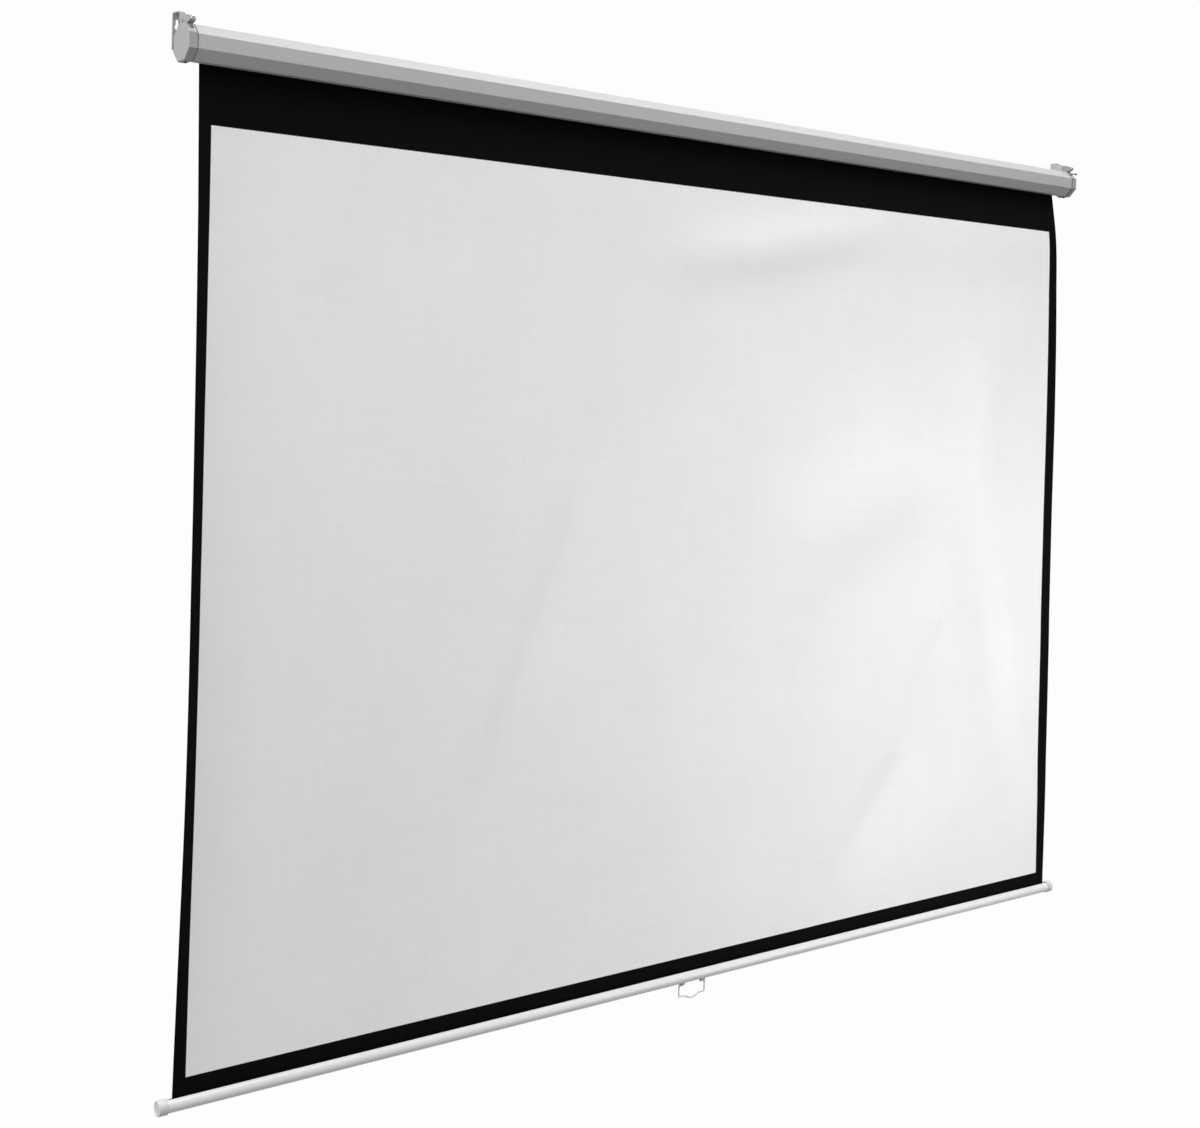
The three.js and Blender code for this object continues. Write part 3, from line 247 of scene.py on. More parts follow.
def grey(tone):
    return (tone, tone, tone, 1)


def seen_or_lit(tree, seen, lit, output):
    """Shows the camera one shader and lets the other one light the object."""
    path = tree.nodes.new("ShaderNodeLightPath")
    chosen = tree.nodes.new("ShaderNodeMixShader")
    tree.links.new(path.outputs["Is Camera Ray"], chosen.inputs["Fac"])
    tree.links.new(lit, chosen.inputs[1])
    tree.links.new(seen, chosen.inputs[2])
    tree.links.new(chosen.outputs[0], output.inputs["Surface"])


surround = bpy.data.worlds.new("pale_surround")
bpy.context.scene.world = surround
surround.use_nodes = True
nodes, links = surround.node_tree.nodes, surround.node_tree.links
nodes.clear()
seen = nodes.new("ShaderNodeBackground")
seen.inputs["Color"].default_value = grey(NEAR_WHITE)
lighting = nodes.new("ShaderNodeBackground")
direction = nodes.new("ShaderNodeTexCoord")
split = nodes.new("ShaderNodeSeparateXYZ")
height = nodes.new("ShaderNodeMapRange")
height.inputs["From Min"].default_value = -1
sky = nodes.new("ShaderNodeValToRGB")
for stop, (position, tone) in zip(sky.color_ramp.elements, ((0.48, 0.03), (0.75, 0.75))):
    stop.position, stop.color = position, grey(tone)
links.new(direction.outputs["Generated"], split.inputs[0])
links.new(split.outputs["Z"], height.inputs["Value"])
links.new(height.outputs["Result"], sky.inputs["Fac"])
links.new(sky.outputs["Color"], lighting.inputs["Color"])
seen_or_lit(surround.node_tree, seen.outputs[0], lighting.outputs[0],
            nodes.new("ShaderNodeOutputWorld"))
bpy.context.scene.view_settings.view_transform = "Standard"


# %% Floor and lamps
def soft_lamp(name, place, aim, size, power, spread=180):
    data = bpy.data.lights.new(name, "AREA")
    data.shape, data.size, data.energy = "SQUARE", size, power
    data.spread = math.radians(spread)
    lamp = bpy.data.objects.new(name, data)
    lamp.location = place
    lamp.rotation_euler = (Vector(aim) - Vector(place)).to_track_quat("-Z", "Y").to_euler()
    bpy.context.scene.collection.objects.link(lamp)


soft_lamp("overhead_lamp", (0, -1.3, 3.2), (0, 0, -0.5), size=3.0, power=100)
soft_lamp("overhead_right_lamp", (1.2, -1.1, 2.6), (0.3, 0, -0.4), size=2.4, power=32)
soft_lamp("left_lamp", (-4.2, -1.6, 0.6), (-1.0, 0, -0.4), size=2.4, power=52)
soft_lamp("left_back_lamp", (-4.5, 1.0, 0.3), (-1.3, 0, 0), size=2.4, power=71)
soft_lamp("low_right_lamp", (2.3, -2.6, -1.3), (0.75, 0, -1.25), size=1.2, power=5, spread=55)

FLOOR_HEIGHT = -2.7
floor = start_piece("pale_floor", bpy.ops.mesh.primitive_plane_add, size=60,
                    location=(0, 0, FLOOR_HEIGHT))
pale = bpy.data.materials.new("pale_floor_finish")
pale.use_nodes = True
nodes = pale.node_tree.nodes
skin = nodes["Principled BSDF"]
skin.inputs["Base Color"].default_value = grey(0.32)
skin.inputs["Roughness"].default_value = 0.9
shown = nodes.new("ShaderNodeEmission")
shown.inputs["Color"].default_value = grey(NEAR_WHITE)
seen_or_lit(pale.node_tree, shown.outputs[0], skin.outputs[0], nodes["Material Output"])
floor.data.materials.append(pale)
print("lamps", len(bpy.data.lights), "floor at", FLOOR_HEIGHT)

# %% [markdown]
# Several finishes share the same small effects, so each effect is a node group that is built once:
# the pebbled skin of paint and moulded plastic, the painted highlight along edges, and fine brushed
# or drawn lines. A group only works out values that vary over the surface. Each finish then feeds
# them into its own shader with its own amounts.


# %% Effect groups
def start_group(name, inputs, outputs):
    group = bpy.data.node_groups.new(name, "ShaderNodeTree")
    for label, value in inputs.items():
        socket = group.interface.new_socket(label, in_out="INPUT", socket_type="NodeSocketFloat")
        socket.default_value = value
    for label in outputs:
        group.interface.new_socket(label, in_out="OUTPUT", socket_type="NodeSocketFloat")
    return group, group.nodes.new("NodeGroupInput"), group.nodes.new("NodeGroupOutput")


def maths(tree, operation, first, second=None, third=None):
    """A Math node whose inputs are sockets or plain numbers."""
    node = tree.nodes.new("ShaderNodeMath")
    node.operation = operation
    for socket, value in zip(node.inputs, (first, second, third)):
        if value is None:
            continue
        if isinstance(value, (int, float)):
            socket.default_value = value
        else:
            tree.links.new(value, socket)
    return node.outputs[0]


def noise_of(tree, vector, scale, detail=3, roughness=0.55):
    node = tree.nodes.new("ShaderNodeTexNoise")
    node.inputs["Detail"].default_value = detail
    node.inputs["Roughness"].default_value = roughness
    if isinstance(scale, (int, float)):
        node.inputs["Scale"].default_value = scale
    else:
        tree.links.new(scale, node.inputs["Scale"])
    tree.links.new(vector, node.inputs["Vector"])
    return node.outputs["Fac"]


def remap(tree, value, start=0.0, end=1.0, low=0.0, high=1.0, kind="LINEAR"):
    """A value that runs from low to high as another goes from start to end."""
    node = tree.nodes.new("ShaderNodeMapRange")
    node.interpolation_type = kind
    ends = {"From Min": start, "From Max": end, "To Min": low, "To Max": high}
    for label, number in ends.items():
        node.inputs[label].default_value = number
    tree.links.new(value, node.inputs["Value"])
    return node.outputs["Result"]


def mix(tree, shares):
    """The sum of several sockets, each times its share."""
    parts = [maths(tree, "MULTIPLY", socket, share) for socket, share in shares]
    total = parts[0]
    for part in parts[1:]:
        total = maths(tree, "ADD", total, part)
    return total


def object_place(tree):
    return tree.nodes.new("ShaderNodeTexCoord").outputs["Object"]


# The pebbled skin of sprayed paint or moulded plastic, with slow changes of tone and gloss
pebbled, given, result = start_group(
    "pebbled_skin", {"Pebbles per metre": 700, "Clouds per metre": 9}, ("Height", "Tone", "Gloss"))
place = object_place(pebbled)
fine = noise_of(pebbled, place, given.outputs["Pebbles per metre"], 2, 0.5)
cloud = noise_of(pebbled, place, given.outputs["Clouds per metre"], 4, 0.6)
SPECKS_PER_CLOUD = 13
specks_per_metre = maths(pebbled, "MULTIPLY", given.outputs["Clouds per metre"], SPECKS_PER_CLOUD)
speck = noise_of(pebbled, place, specks_per_metre, 3)
pebbled.links.new(fine, result.inputs["Height"])
pebbled.links.new(mix(pebbled, [(cloud, 0.7), (speck, 0.3)]), result.inputs["Tone"])
pebbled.links.new(mix(pebbled, [(speck, 0.6), (cloud, 0.4)]), result.inputs["Gloss"])

# A painted highlight along outside edges, broken into patches by noise. The narrow faces along
# rounded edges carry the attribute that it reads.
HIGHLIGHT_STARTS, HIGHLIGHT_FULL = 0.42, 0.62
edge_highlight_group, given, result = start_group("edge_highlight", {"Amount": 1, "Breaks per metre": 160}, ("Highlight",))
ridge = edge_highlight_group.nodes.new("ShaderNodeAttribute")
ridge.attribute_name = EDGE_MARK
broken = noise_of(edge_highlight_group, object_place(edge_highlight_group), given.outputs["Breaks per metre"], 4, 0.65)
patchy = remap(edge_highlight_group, broken, HIGHLIGHT_STARTS, HIGHLIGHT_FULL)
lit_edges = maths(edge_highlight_group, "MULTIPLY", ridge.outputs["Fac"], patchy)
edge_highlight_group.links.new(maths(edge_highlight_group, "MULTIPLY", lit_edges, given.outputs["Amount"]), result.inputs["Highlight"])

# Lines drawn along X, as on a rolled tube, a drawn wire or a turned pin
drawn, given, result = start_group(
    "drawn_lines", {"Lines per metre": 900, "Stretch": 30}, ("Height", "Tone"))
place = object_place(drawn)
apart = drawn.nodes.new("ShaderNodeSeparateXYZ")
drawn.links.new(place, apart.inputs[0])
together = drawn.nodes.new("ShaderNodeCombineXYZ")
drawn.links.new(maths(drawn, "DIVIDE", apart.outputs["X"], given.outputs["Stretch"]),
                together.inputs["X"])
drawn.links.new(apart.outputs["Y"], together.inputs["Y"])
drawn.links.new(apart.outputs["Z"], together.inputs["Z"])
lines = noise_of(drawn, together.outputs[0], given.outputs["Lines per metre"], 3, 0.6)
drawn.links.new(lines, result.inputs["Height"])
BLOTCHES_PER_METRE = 45
blotch = noise_of(drawn, place, BLOTCHES_PER_METRE, 3)
drawn.links.new(mix(drawn, [(lines, 0.5), (blotch, 0.5)]), result.inputs["Tone"])
print("effects", [group.name for group in bpy.data.node_groups])


def place_group(tree, group, **values):
    node = tree.nodes.new("ShaderNodeGroup")
    node.node_tree = group
    for label, value in values.items():
        node.inputs[label.replace("_", " ")].default_value = value
    return node


def new_finish(name):
    finish = bpy.data.materials.new(name)
    finish.use_nodes = True
    return finish, finish.node_tree, finish.node_tree.nodes["Principled BSDF"]


def blend_colours(tree, share, first, second):
    """A colour that runs from first to second as share goes from 0 to 1. Each of them is a
    plain colour or a socket."""
    node = tree.nodes.new("ShaderNodeMix")
    node.data_type = "RGBA"
    tree.links.new(share, node.inputs[0])
    for socket, colour in ((node.inputs[6], first), (node.inputs[7], second)):
        if isinstance(colour, tuple):
            socket.default_value = (*colour, 1)
        else:
            tree.links.new(colour, socket)
    return node.outputs[2]


def bumps(tree, skin, height_value, depth):
    node = tree.nodes.new("ShaderNodeBump")
    node.inputs["Distance"].default_value = depth
    node.inputs["Strength"].default_value = 1
    tree.links.new(height_value, node.inputs["Height"])
    tree.links.new(node.outputs[0], skin.inputs["Normal"])


# %% [markdown]
# Painted steel is a smooth colour under a thin, faintly pebbled skin, like orange peel. The colour
# drifts a little with dust and handling, edges carry a lighter painted highlight, and the gloss is
# never quite even. Moulded plastic is the same idea with a finer, duller skin. The case is a cool
# light grey under this light, and the bottom tube a cleaner white. The clips' white plastic is made
# mid-grey as painted shade under the bar.


# %% Paint and plastic
FINE = 0.00002


def edge_highlit_colour(tree, skin, tone, colours, highlight_colour, highlight):
    """The base colour of a finish: two tones under a painted highlight along its edges."""
    edge_light = place_group(tree, edge_highlight_group, Amount=highlight)
    tree.links.new(blend_colours(tree, edge_light.outputs["Highlight"], blend_colours(tree, tone, *colours),
                                 highlight_colour), skin.inputs["Base Color"])


def skin_finish(name, *colours, gloss, pebbles, clouds, highlight_colour, highlight, depth=FINE):
    finish, tree, skin = new_finish(name)
    effect = place_group(tree, pebbled, Pebbles_per_metre=pebbles, Clouds_per_metre=clouds)
    edge_highlit_colour(tree, skin, effect.outputs["Tone"], colours, highlight_colour, highlight)
    tree.links.new(remap(tree, effect.outputs["Gloss"], low=gloss[0], high=gloss[1]),
                   skin.inputs["Roughness"])
    bumps(tree, skin, effect.outputs["Height"], depth)
    return finish


# each finish's last colour and amount set its painted highlight along rounded edges
case_paint = skin_finish(
    "case_paint", (0.435, 0.438, 0.44), (0.465, 0.465, 0.463), gloss=(0.34, 0.40), pebbles=650,
    clouds=4, highlight_colour=(0.60, 0.60, 0.59), highlight=0.5)
tube_paint = skin_finish(
    "tube_paint", (0.70, 0.70, 0.698), (0.74, 0.74, 0.738), gloss=(0.30, 0.37), pebbles=650,
    clouds=7, highlight_colour=(0.80, 0.80, 0.79), highlight=0.4)
cap_plastic = skin_finish(
    "cap_plastic", (0.325, 0.328, 0.33), (0.355, 0.355, 0.353), gloss=(0.40, 0.46), pebbles=2200,
    clouds=25, highlight_colour=(0.56, 0.56, 0.55), highlight=0.7)
bar_cap_plastic = skin_finish(
    "bar_cap_plastic", (0.58, 0.583, 0.585), (0.62, 0.62, 0.618), gloss=(0.36, 0.42), pebbles=2200,
    clouds=40, highlight_colour=(0.85, 0.85, 0.84), highlight=0.6)
# the clips are white plastic; their mid-grey colour is painted shade where they sit under the bar
shaded_clip_plastic = skin_finish(
    "shaded_clip_plastic", (0.44, 0.443, 0.445), (0.48, 0.48, 0.478), gloss=(0.38, 0.48), pebbles=2200,
    clouds=60, highlight_colour=(0.5, 0.5, 0.49), highlight=0.5)
wire_coat = skin_finish(
    "handle_wire", (0.62, 0.63, 0.635), (0.67, 0.67, 0.67), gloss=(0.34, 0.38), pebbles=2200,
    clouds=60, highlight_colour=(0.8, 0.8, 0.8), highlight=0.3, depth=0.000001)
nylon = skin_finish(
    "nylon", (0.65, 0.64, 0.60), (0.72, 0.71, 0.67), gloss=(0.42, 0.55), pebbles=1500,
    clouds=35, highlight_colour=(0.82, 0.81, 0.78), highlight=0.4, depth=0.00003)


# %% [markdown]
# Bare metal shows how it was made. The bracket is dull plated sheet whose plating clouds in
# patches, the axle and pins are turned or drawn, the screws are blacked with a painted highlight
# along their edges, and the spring wire is oil-dark. Each takes the same drawn lines or cloudy
# skin with a metallic shader.


# %% Metals
def metal_finish(name, *colours, gloss, lines, stretch, highlight_colour, highlight, metallic):
    finish, tree, skin = new_finish(name)
    effect = place_group(tree, drawn, Lines_per_metre=lines, Stretch=stretch)
    tone = effect.outputs["Tone"]
    edge_highlit_colour(tree, skin, tone, colours, highlight_colour, highlight)
    tree.links.new(remap(tree, tone, low=gloss[0], high=gloss[1]), skin.inputs["Roughness"])
    skin.inputs["Metallic"].default_value = metallic
    bumps(tree, skin, effect.outputs["Height"], FINE)
    return finish


zinc = metal_finish(
    "zinc_plate", (0.50, 0.51, 0.53), (0.72, 0.73, 0.74), gloss=(0.22, 0.45), lines=800,
    stretch=25, highlight_colour=(0.85, 0.85, 0.85), highlight=0.5, metallic=0.9)
spring_steel = metal_finish(
    "spring_steel", (0.20, 0.20, 0.21), (0.38, 0.38, 0.39), gloss=(0.25, 0.4), lines=1200,
    stretch=3, highlight_colour=(0.6, 0.6, 0.6), highlight=0.6, metallic=0.95)
black_oxide = metal_finish(
    "black_oxide", (0.018, 0.018, 0.02), (0.05, 0.05, 0.052), gloss=(0.3, 0.5), lines=1800,
    stretch=2, highlight_colour=(0.35, 0.35, 0.36), highlight=0.8, metallic=0.7)

# %% Bracket plate
FLAKES_PER_METRE = 190
bracket_metal, tree, skin = new_finish("bracket_plate")
effect = place_group(tree, pebbled, Pebbles_per_metre=900, Clouds_per_metre=60)
flakes = tree.nodes.new("ShaderNodeTexVoronoi")
flakes.inputs["Scale"].default_value = FLAKES_PER_METRE
tree.links.new(object_place(tree), flakes.inputs["Vector"])
flake_tone = tree.nodes.new("ShaderNodeRGBToBW")
tree.links.new(flakes.outputs["Color"], flake_tone.inputs[0])
mottle = mix(tree, [(flake_tone.outputs[0], 0.3), (effect.outputs["Tone"], 0.7)])
edge_highlit_colour(tree, skin, mottle, ((0.50, 0.503, 0.506), (0.60, 0.60, 0.60)),
            highlight_colour=(0.6, 0.6, 0.6), highlight=0.7)
tree.links.new(remap(tree, mottle, low=0.32, high=0.42), skin.inputs["Roughness"])
skin.inputs["Metallic"].default_value = 0.3
bumps(tree, skin, effect.outputs["Height"], 0.00003)
print("finishes", len(bpy.data.materials))

# %% [markdown]
# The cloth is matt white plastic-coated weave with printed black borders: narrow ones at the sides
# and the bottom, and a deep black band, the leader, at the top. Its back is black, so that no light
# shines through. The pattern must follow the cloth wherever it folds, so it is worked out from
# the cloth's own UV map, in metres from the cloth's upper left corner, and not from where the
# cloth hangs. The print ends softly over a millimetre. A woven core shows as faint crossed streaks.

# %% Cloth sizes
cloth_lo, cloth_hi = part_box("screen_fabric")
CLOTH_WIDTH = cloth_hi.x - cloth_lo.x
HALF_CLOTH = CLOTH_WIDTH / 2
CLOTH_TOP = cloth_hi.z
CLOTH_PLANE = -0.024
CASE_BOTTOM = case_lo.z
BAR_TOP = bar_hi.z
ROD_RADIUS = 0.0032
rod_lo, rod_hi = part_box("hem_rod")
ROD_HEIGHT = (rod_lo.z + rod_hi.z) / 2
CLOTH_THICKNESS = 0.00045
LEFT_BORDER, RIGHT_BORDER = 0.025, 0.0295
LEADER_END = -0.134
LEADER_SLANT = 0.0068
BOTTOM_BORDER_TOP = BAR_TOP + 0.0325
print("cloth", round(CLOTH_WIDTH, 4), "wide, top", round(CLOTH_TOP, 4),
      "rod", round(ROD_HEIGHT, 4))

# %% [markdown]
# The cloth is not flat. Held along the roller and the bar, it bellies towards the viewer at its
# upper right, and its two side edges curl forward, as the coated weave does when it has been
# rolled for long, so its borders are seen more or less edge on. Old rolls also leave soft folds,
# which are only seen because light rakes over them: a long one that leans down to the left of the
# middle, a fainter one beside it, and livelier ones near the right edge. Each is a low ridge or
# hollow along a few points, most of them steeper on one side than on the other, and all fade
# where the cloth is held.

# %% The hanging shape
# shares of the drop, and how far forward the cloth stands there, in metres
BELLY_DEPTHS = (0, 0.06, 0.15, 0.30, 0.50, 0.70, 0.85, 1)
BELLY_LEFT = (0, 0.0040, 0.0026, 0.0012, 0.0008, -0.0004, -0.0026, 0)
BELLY_RIGHT = (0, 0.0145, 0.0150, 0.0127, 0.0092, 0.0038, -0.0006, 0)
CURL_LEFT = (0, 0.0015, 0.0085, 0.0142, 0.0170, 0.0174, 0.0122, 0)
CURL_RIGHT = (0, 0.0005, 0.0048, 0.0082, 0.0080, 0.0086, 0.0072, 0)
CURL_REACH, CURL_FALL = 0.028, 1.3
FOLD_END_FADE, FOLD_FADE, HELD_FADE = 0.08, 0.8, 0.7
DRIFT_HEIGHT = 0.0011
# waves per metre across and down, the layer of noise, and its share
DRIFTS = ((2.1, 1.6, 3.3, 1.0), (4.6, 5.2, 8.1, 0.5))
SOFT_FOLDS = [
    # points (x, z), then the height, the width of the left flank and of the right flank
    ([(-0.30, -0.25), (-0.34, -0.80), (-0.43, -1.06), (-0.58, -1.42), (-0.54, -1.75)],
     -0.0068, 0.045, 0.17),
    ([(-0.19, -0.33), (-0.15, -0.80), (-0.05, -1.24), (0.03, -1.52)], -0.0052, 0.040, 0.13),
    ([(0.94, -0.55), (0.93, -0.90), (0.95, -1.10), (0.99, -1.30), (1.05, -1.60)],
     0.0150, 0.070, 0.045),
    ([(1.06, -0.50), (1.05, -0.86), (1.07, -1.05), (1.11, -1.25), (1.16, -1.55)],
     -0.0110, 0.045, 0.060),
    ([(0.78, -1.25), (0.70, -1.50), (0.44, -1.78)], -0.0180, 0.060, 0.20),
    ([(0.30, -1.12), (0.36, -0.95), (0.55, -0.86), (0.80, -0.78)], 0.0115, 0.13, 0.11),
    ([(-0.10, -0.29), (0.16, -0.26), (0.54, -0.17)], 0.0170, 0.065, 0.065),
]


def smooth_through(at, values):
    """A curve through the given values with no kinks, as a function of arrays."""
    at, values = np.array(at, float), np.array(values, float)
    slopes = np.gradient(values, at)

    def curve(where):
        i = np.clip(np.searchsorted(at, where, side="right") - 1, 0, len(at) - 2)
        gap = at[i + 1] - at[i]
        s = (where - at[i]) / gap
        return ((2 * s**3 - 3 * s**2 + 1) * values[i] + (s**3 - 2 * s**2 + s) * gap * slopes[i]
                + (3 * s**2 - 2 * s**3) * values[i + 1] + (s**3 - s**2) * gap * slopes[i + 1])
    return curve


belly_left, belly_right, curl_left, curl_right = (
    smooth_through(BELLY_DEPTHS, values)
    for values in (BELLY_LEFT, BELLY_RIGHT, CURL_LEFT, CURL_RIGHT))


def fold_height(x, z, points, height, left_width, right_width):
    """How far one soft fold lifts the cloth at x, z. Its left flank lies to the left of a path
    that runs mostly down, and above a path that runs mostly to the right."""
    nearest = np.full(x.shape, np.inf)
    side, along = np.zeros(x.shape), np.zeros(x.shape)
    lengths = [math.dist(a, b) for a, b in zip(points, points[1:])]
    total, walked = sum(lengths), 0.0
    for (ax, az), (bx, bz), length in zip(points, points[1:], lengths):
        tx, tz = (bx - ax) / length, (bz - az) / length
        s = np.clip((x - ax) * tx + (z - az) * tz, 0, length)
        off_x, off_z = x - ax - s * tx, z - az - s * tz
        distance = np.hypot(off_x, off_z)
        closer = distance < nearest
        nearest = np.where(closer, distance, nearest)
        side = np.where(closer, tx * off_z - tz * off_x, side)
        along = np.where(closer, (walked + s) / total, along)
        walked += length
    width = np.where(side > 0, right_width, left_width)
    if points[-1][0] - points[0][0] > abs(points[-1][1] - points[0][1]):
        width = np.where(side > 0, left_width, right_width)
    inner = FOLD_END_FADE + (1 - 2 * FOLD_END_FADE) * along
    fade = np.clip(np.sin(np.pi * inner), 0, 1) ** FOLD_FADE
    return height * fade * np.exp(-(nearest / width) ** 2)


def cloth_forward(x, z):
    """How far the hanging cloth stands out towards the viewer."""
    depth = np.clip((CASE_BOTTOM - z) / (CASE_BOTTOM - BAR_TOP), 0, 1)
    across = np.clip(x / CLOTH_WIDTH + 0.5, 0, 1)
    ease = across * across * (3 - 2 * across)
    stand = belly_left(depth) * (1 - ease) + belly_right(depth) * ease
    held = np.sin(np.pi * depth) ** HELD_FADE
    folds = sum(fold_height(x, z, *fold) for fold in SOFT_FOLDS)
    edge = np.clip(HALF_CLOTH - np.abs(x), 0, None)
    curl = np.where(x < 0, curl_left(depth), curl_right(depth))
    curl = curl * np.exp(-(edge / CURL_REACH) ** CURL_FALL)
    drift = np.array([sum(share * noise.noise((a * wide, b * tall, layer))
                          for wide, tall, layer, share in DRIFTS)
                      for a, b in zip(x.ravel(), z.ravel())]).reshape(x.shape)
    return stand + curl + held * (folds + DRIFT_HEIGHT * drift)


def drawn_in(across, depths):
    """Where the columns lie once each row keeps its flat width: the cloth doesn't stretch."""
    middle = len(across) // 2
    steps = np.sqrt(np.diff(across) ** 2 - np.diff(depths, axis=1) ** 2)
    places = np.concatenate([np.zeros((len(depths), 1)), np.cumsum(steps, axis=1)], axis=1)
    return places - places[:, middle:middle + 1] + across[middle]


# %% [markdown]
# The sheet itself is a grid of faces in mesh code, as cloth should be: it drops through the slot
# in the case and hangs. The first two centimetres below the roller, and the hem, a loop round
# the rod inside the bar, are two small grids of their own, because the one stays and the other
# goes up whole with the bar while the rest winds away. Columns crowd towards the side edges,
# where the cloth curls. A Solidify step gives all three the thickness of the coated weave and
# a second finish for the black back.

# %% Cloth mesh
COLUMNS, ROWS, FEW_COLUMNS = 176, 170, 9
EDGE_BAND, EDGE_COLUMNS, EDGE_CROWDING = 0.1, 15, 1.2
SLOT_ROWS, TOP_ROWS, HEM_ROWS, LOOP_ROWS = 4, 3, 4, 19
HEM_JOINT = BAR_TOP - 0.0006
ROLLER_JOINT = -0.020
ROLLER_GAP, ROD_GAP, LOOP_GAP = 0.0004, 0.0003, 0.0006
LOOP_TURN = 2 * math.pi * 7 / 8
heights = np.concatenate([np.linspace(ROLLER_JOINT, CASE_BOTTOM, SLOT_ROWS)[:-1],
                          np.linspace(CASE_BOTTOM, HEM_JOINT, ROWS)])
edge_steps = EDGE_BAND * np.linspace(0, 1, EDGE_COLUMNS)[:-1] ** EDGE_CROWDING
inner_columns = np.linspace(EDGE_BAND - HALF_CLOTH, HALF_CLOTH - EDGE_BAND, COLUMNS + 1)
across = np.concatenate([edge_steps - HALF_CLOTH, inner_columns, HALF_CLOTH - edge_steps[::-1]])
flat_x, grid_z = np.meshgrid(across, heights)
grid_y = CLOTH_PLANE - cloth_forward(flat_x, grid_z)
grid_x = drawn_in(across, grid_y)
points = np.stack([grid_x, grid_y, grid_z], axis=-1)
print("stands forward by up to", round(float((CLOTH_PLANE - grid_y).max()), 4), "m")

few_across = np.linspace(-HALF_CLOTH, HALF_CLOTH, FEW_COLUMNS)


def straight_across(depths, levels):
    """A grid of points that is the same at each of the few columns across the cloth."""
    return np.stack([np.tile(few_across, (len(levels), 1)),
                     np.tile(depths[:, None], (1, FEW_COLUMNS)),
                     np.tile(levels[:, None], (1, FEW_COLUMNS))], axis=-1)


loop_radius = ROD_RADIUS + ROD_GAP + CLOTH_THICKNESS / 2
turns = np.linspace(0, LOOP_TURN, LOOP_ROWS)
hem_y = np.concatenate([np.full(HEM_ROWS, CLOTH_PLANE), CLOTH_PLANE - loop_radius * np.sin(turns)])
hem_z = np.concatenate([np.linspace(HEM_JOINT, ROD_HEIGHT + loop_radius + LOOP_GAP, HEM_ROWS),
                        ROD_HEIGHT + loop_radius * np.cos(turns)])
hem_points = straight_across(hem_y, hem_z)
top_z = np.linspace(CLOTH_TOP - ROLLER_GAP, ROLLER_JOINT, TOP_ROWS)
top_points = straight_across(np.full(TOP_ROWS, CLOTH_PLANE), top_z)


def lengths_along(column):
    """How far along a column of points each of them lies."""
    steps = np.linalg.norm(np.diff(column, axis=0), axis=1)
    return np.concatenate([[0], np.cumsum(steps)])


top_travelled = lengths_along(top_points[:, 0])
travelled = top_travelled[-1] + lengths_along(points[:, len(across) // 2])
hem_travelled = travelled[-1] + lengths_along(hem_points[:, 0])
CLOTH_LENGTH = float(hem_travelled[-1])


def sheet_mesh(name, grid, down_shares, across_shares):
    """A mesh of one grid of points, with a UV map that runs across and down it."""
    rows, cols = grid.shape[:2]
    corner = np.arange(rows * cols).reshape(rows, cols)
    faces = np.stack([corner[:-1, :-1], corner[1:, :-1], corner[1:, 1:], corner[:-1, 1:]], axis=-1)
    mesh = bpy.data.meshes.new(name)
    mesh.from_pydata(grid.reshape(-1, 3).tolist(), [], faces.reshape(-1, 4).tolist())
    share_across = np.tile(np.asarray(across_shares), rows)
    share_down = np.repeat(1 - np.asarray(down_shares), cols)
    uv = mesh.uv_layers.new(name="cloth_map")
    corners = np.empty(len(mesh.loops), dtype=np.int32)
    mesh.loops.foreach_get("vertex_index", corners)
    uv.data.foreach_set("uv", np.stack([share_across[corners], share_down[corners]], 1).ravel())
    mesh.shade_smooth()
    piece = bpy.data.objects.new(name, mesh)
    bpy.context.scene.collection.objects.link(piece)
    return piece


few_shares = few_across / CLOTH_WIDTH + 0.5
cloth = sheet_mesh("hanging_cloth", points, travelled / CLOTH_LENGTH, across / CLOTH_WIDTH + 0.5)
hem = sheet_mesh("cloth_hem", hem_points, hem_travelled / CLOTH_LENGTH, few_shares)
top = sheet_mesh("cloth_top", top_points, top_travelled / CLOTH_LENGTH, few_shares)
print("cloth length from roller to hem", round(CLOTH_LENGTH, 4), "m")


# %% [markdown]
# Now the print and the weave. The white area begins and ends at measured heights, which are
# turned into lengths along the cloth first. Four soft steps make the border mask, two stretched
# noises make the crossed streaks of the weave, and slow clouds keep the white from being one
# dead tone. The weave's threads are half a millimetre apart, far finer than the picture shows,
# but they are what the cloth looks like from close by.

# %% Cloth finish
def length_at(height):
    """How far along the cloth a height lies."""
    return float(np.interp(-height, -heights, travelled))


picture_start, picture_end = length_at(LEADER_END), length_at(BOTTOM_BORDER_TOP)
picture_width = CLOTH_WIDTH - LEFT_BORDER - RIGHT_BORDER
print("picture area", round(picture_width, 3), "x", round(picture_end - picture_start, 3))

PRINT_BLUR = 0.001
THREAD_PITCH = 0.0005
STREAKS_FINE, STREAKS_LONG = 110, 5
# how far in from the left edge the white is darkened as painted shade, and how much
LEFT_SHADE_WIDTH, LEFT_SHADE_SHARE = 0.2, 0.45


def soft_step(tree, value, start, width=PRINT_BLUR):
    return remap(tree, value, start - width / 2, start + width / 2, kind="SMOOTHSTEP")


def inside(tree, value):
    return maths(tree, "SUBTRACT", 1.0, value)


def cloth_metres(tree):
    """Distances across and down the cloth, in metres, from its UV map."""
    uv = tree.nodes.new("ShaderNodeUVMap")
    uv.uv_map = "cloth_map"
    apart = tree.nodes.new("ShaderNodeSeparateXYZ")
    tree.links.new(uv.outputs[0], apart.inputs[0])
    across = maths(tree, "MULTIPLY", apart.outputs["X"], CLOTH_WIDTH)
    down = maths(tree, "MULTIPLY", inside(tree, apart.outputs["Y"]), CLOTH_LENGTH)
    return across, down


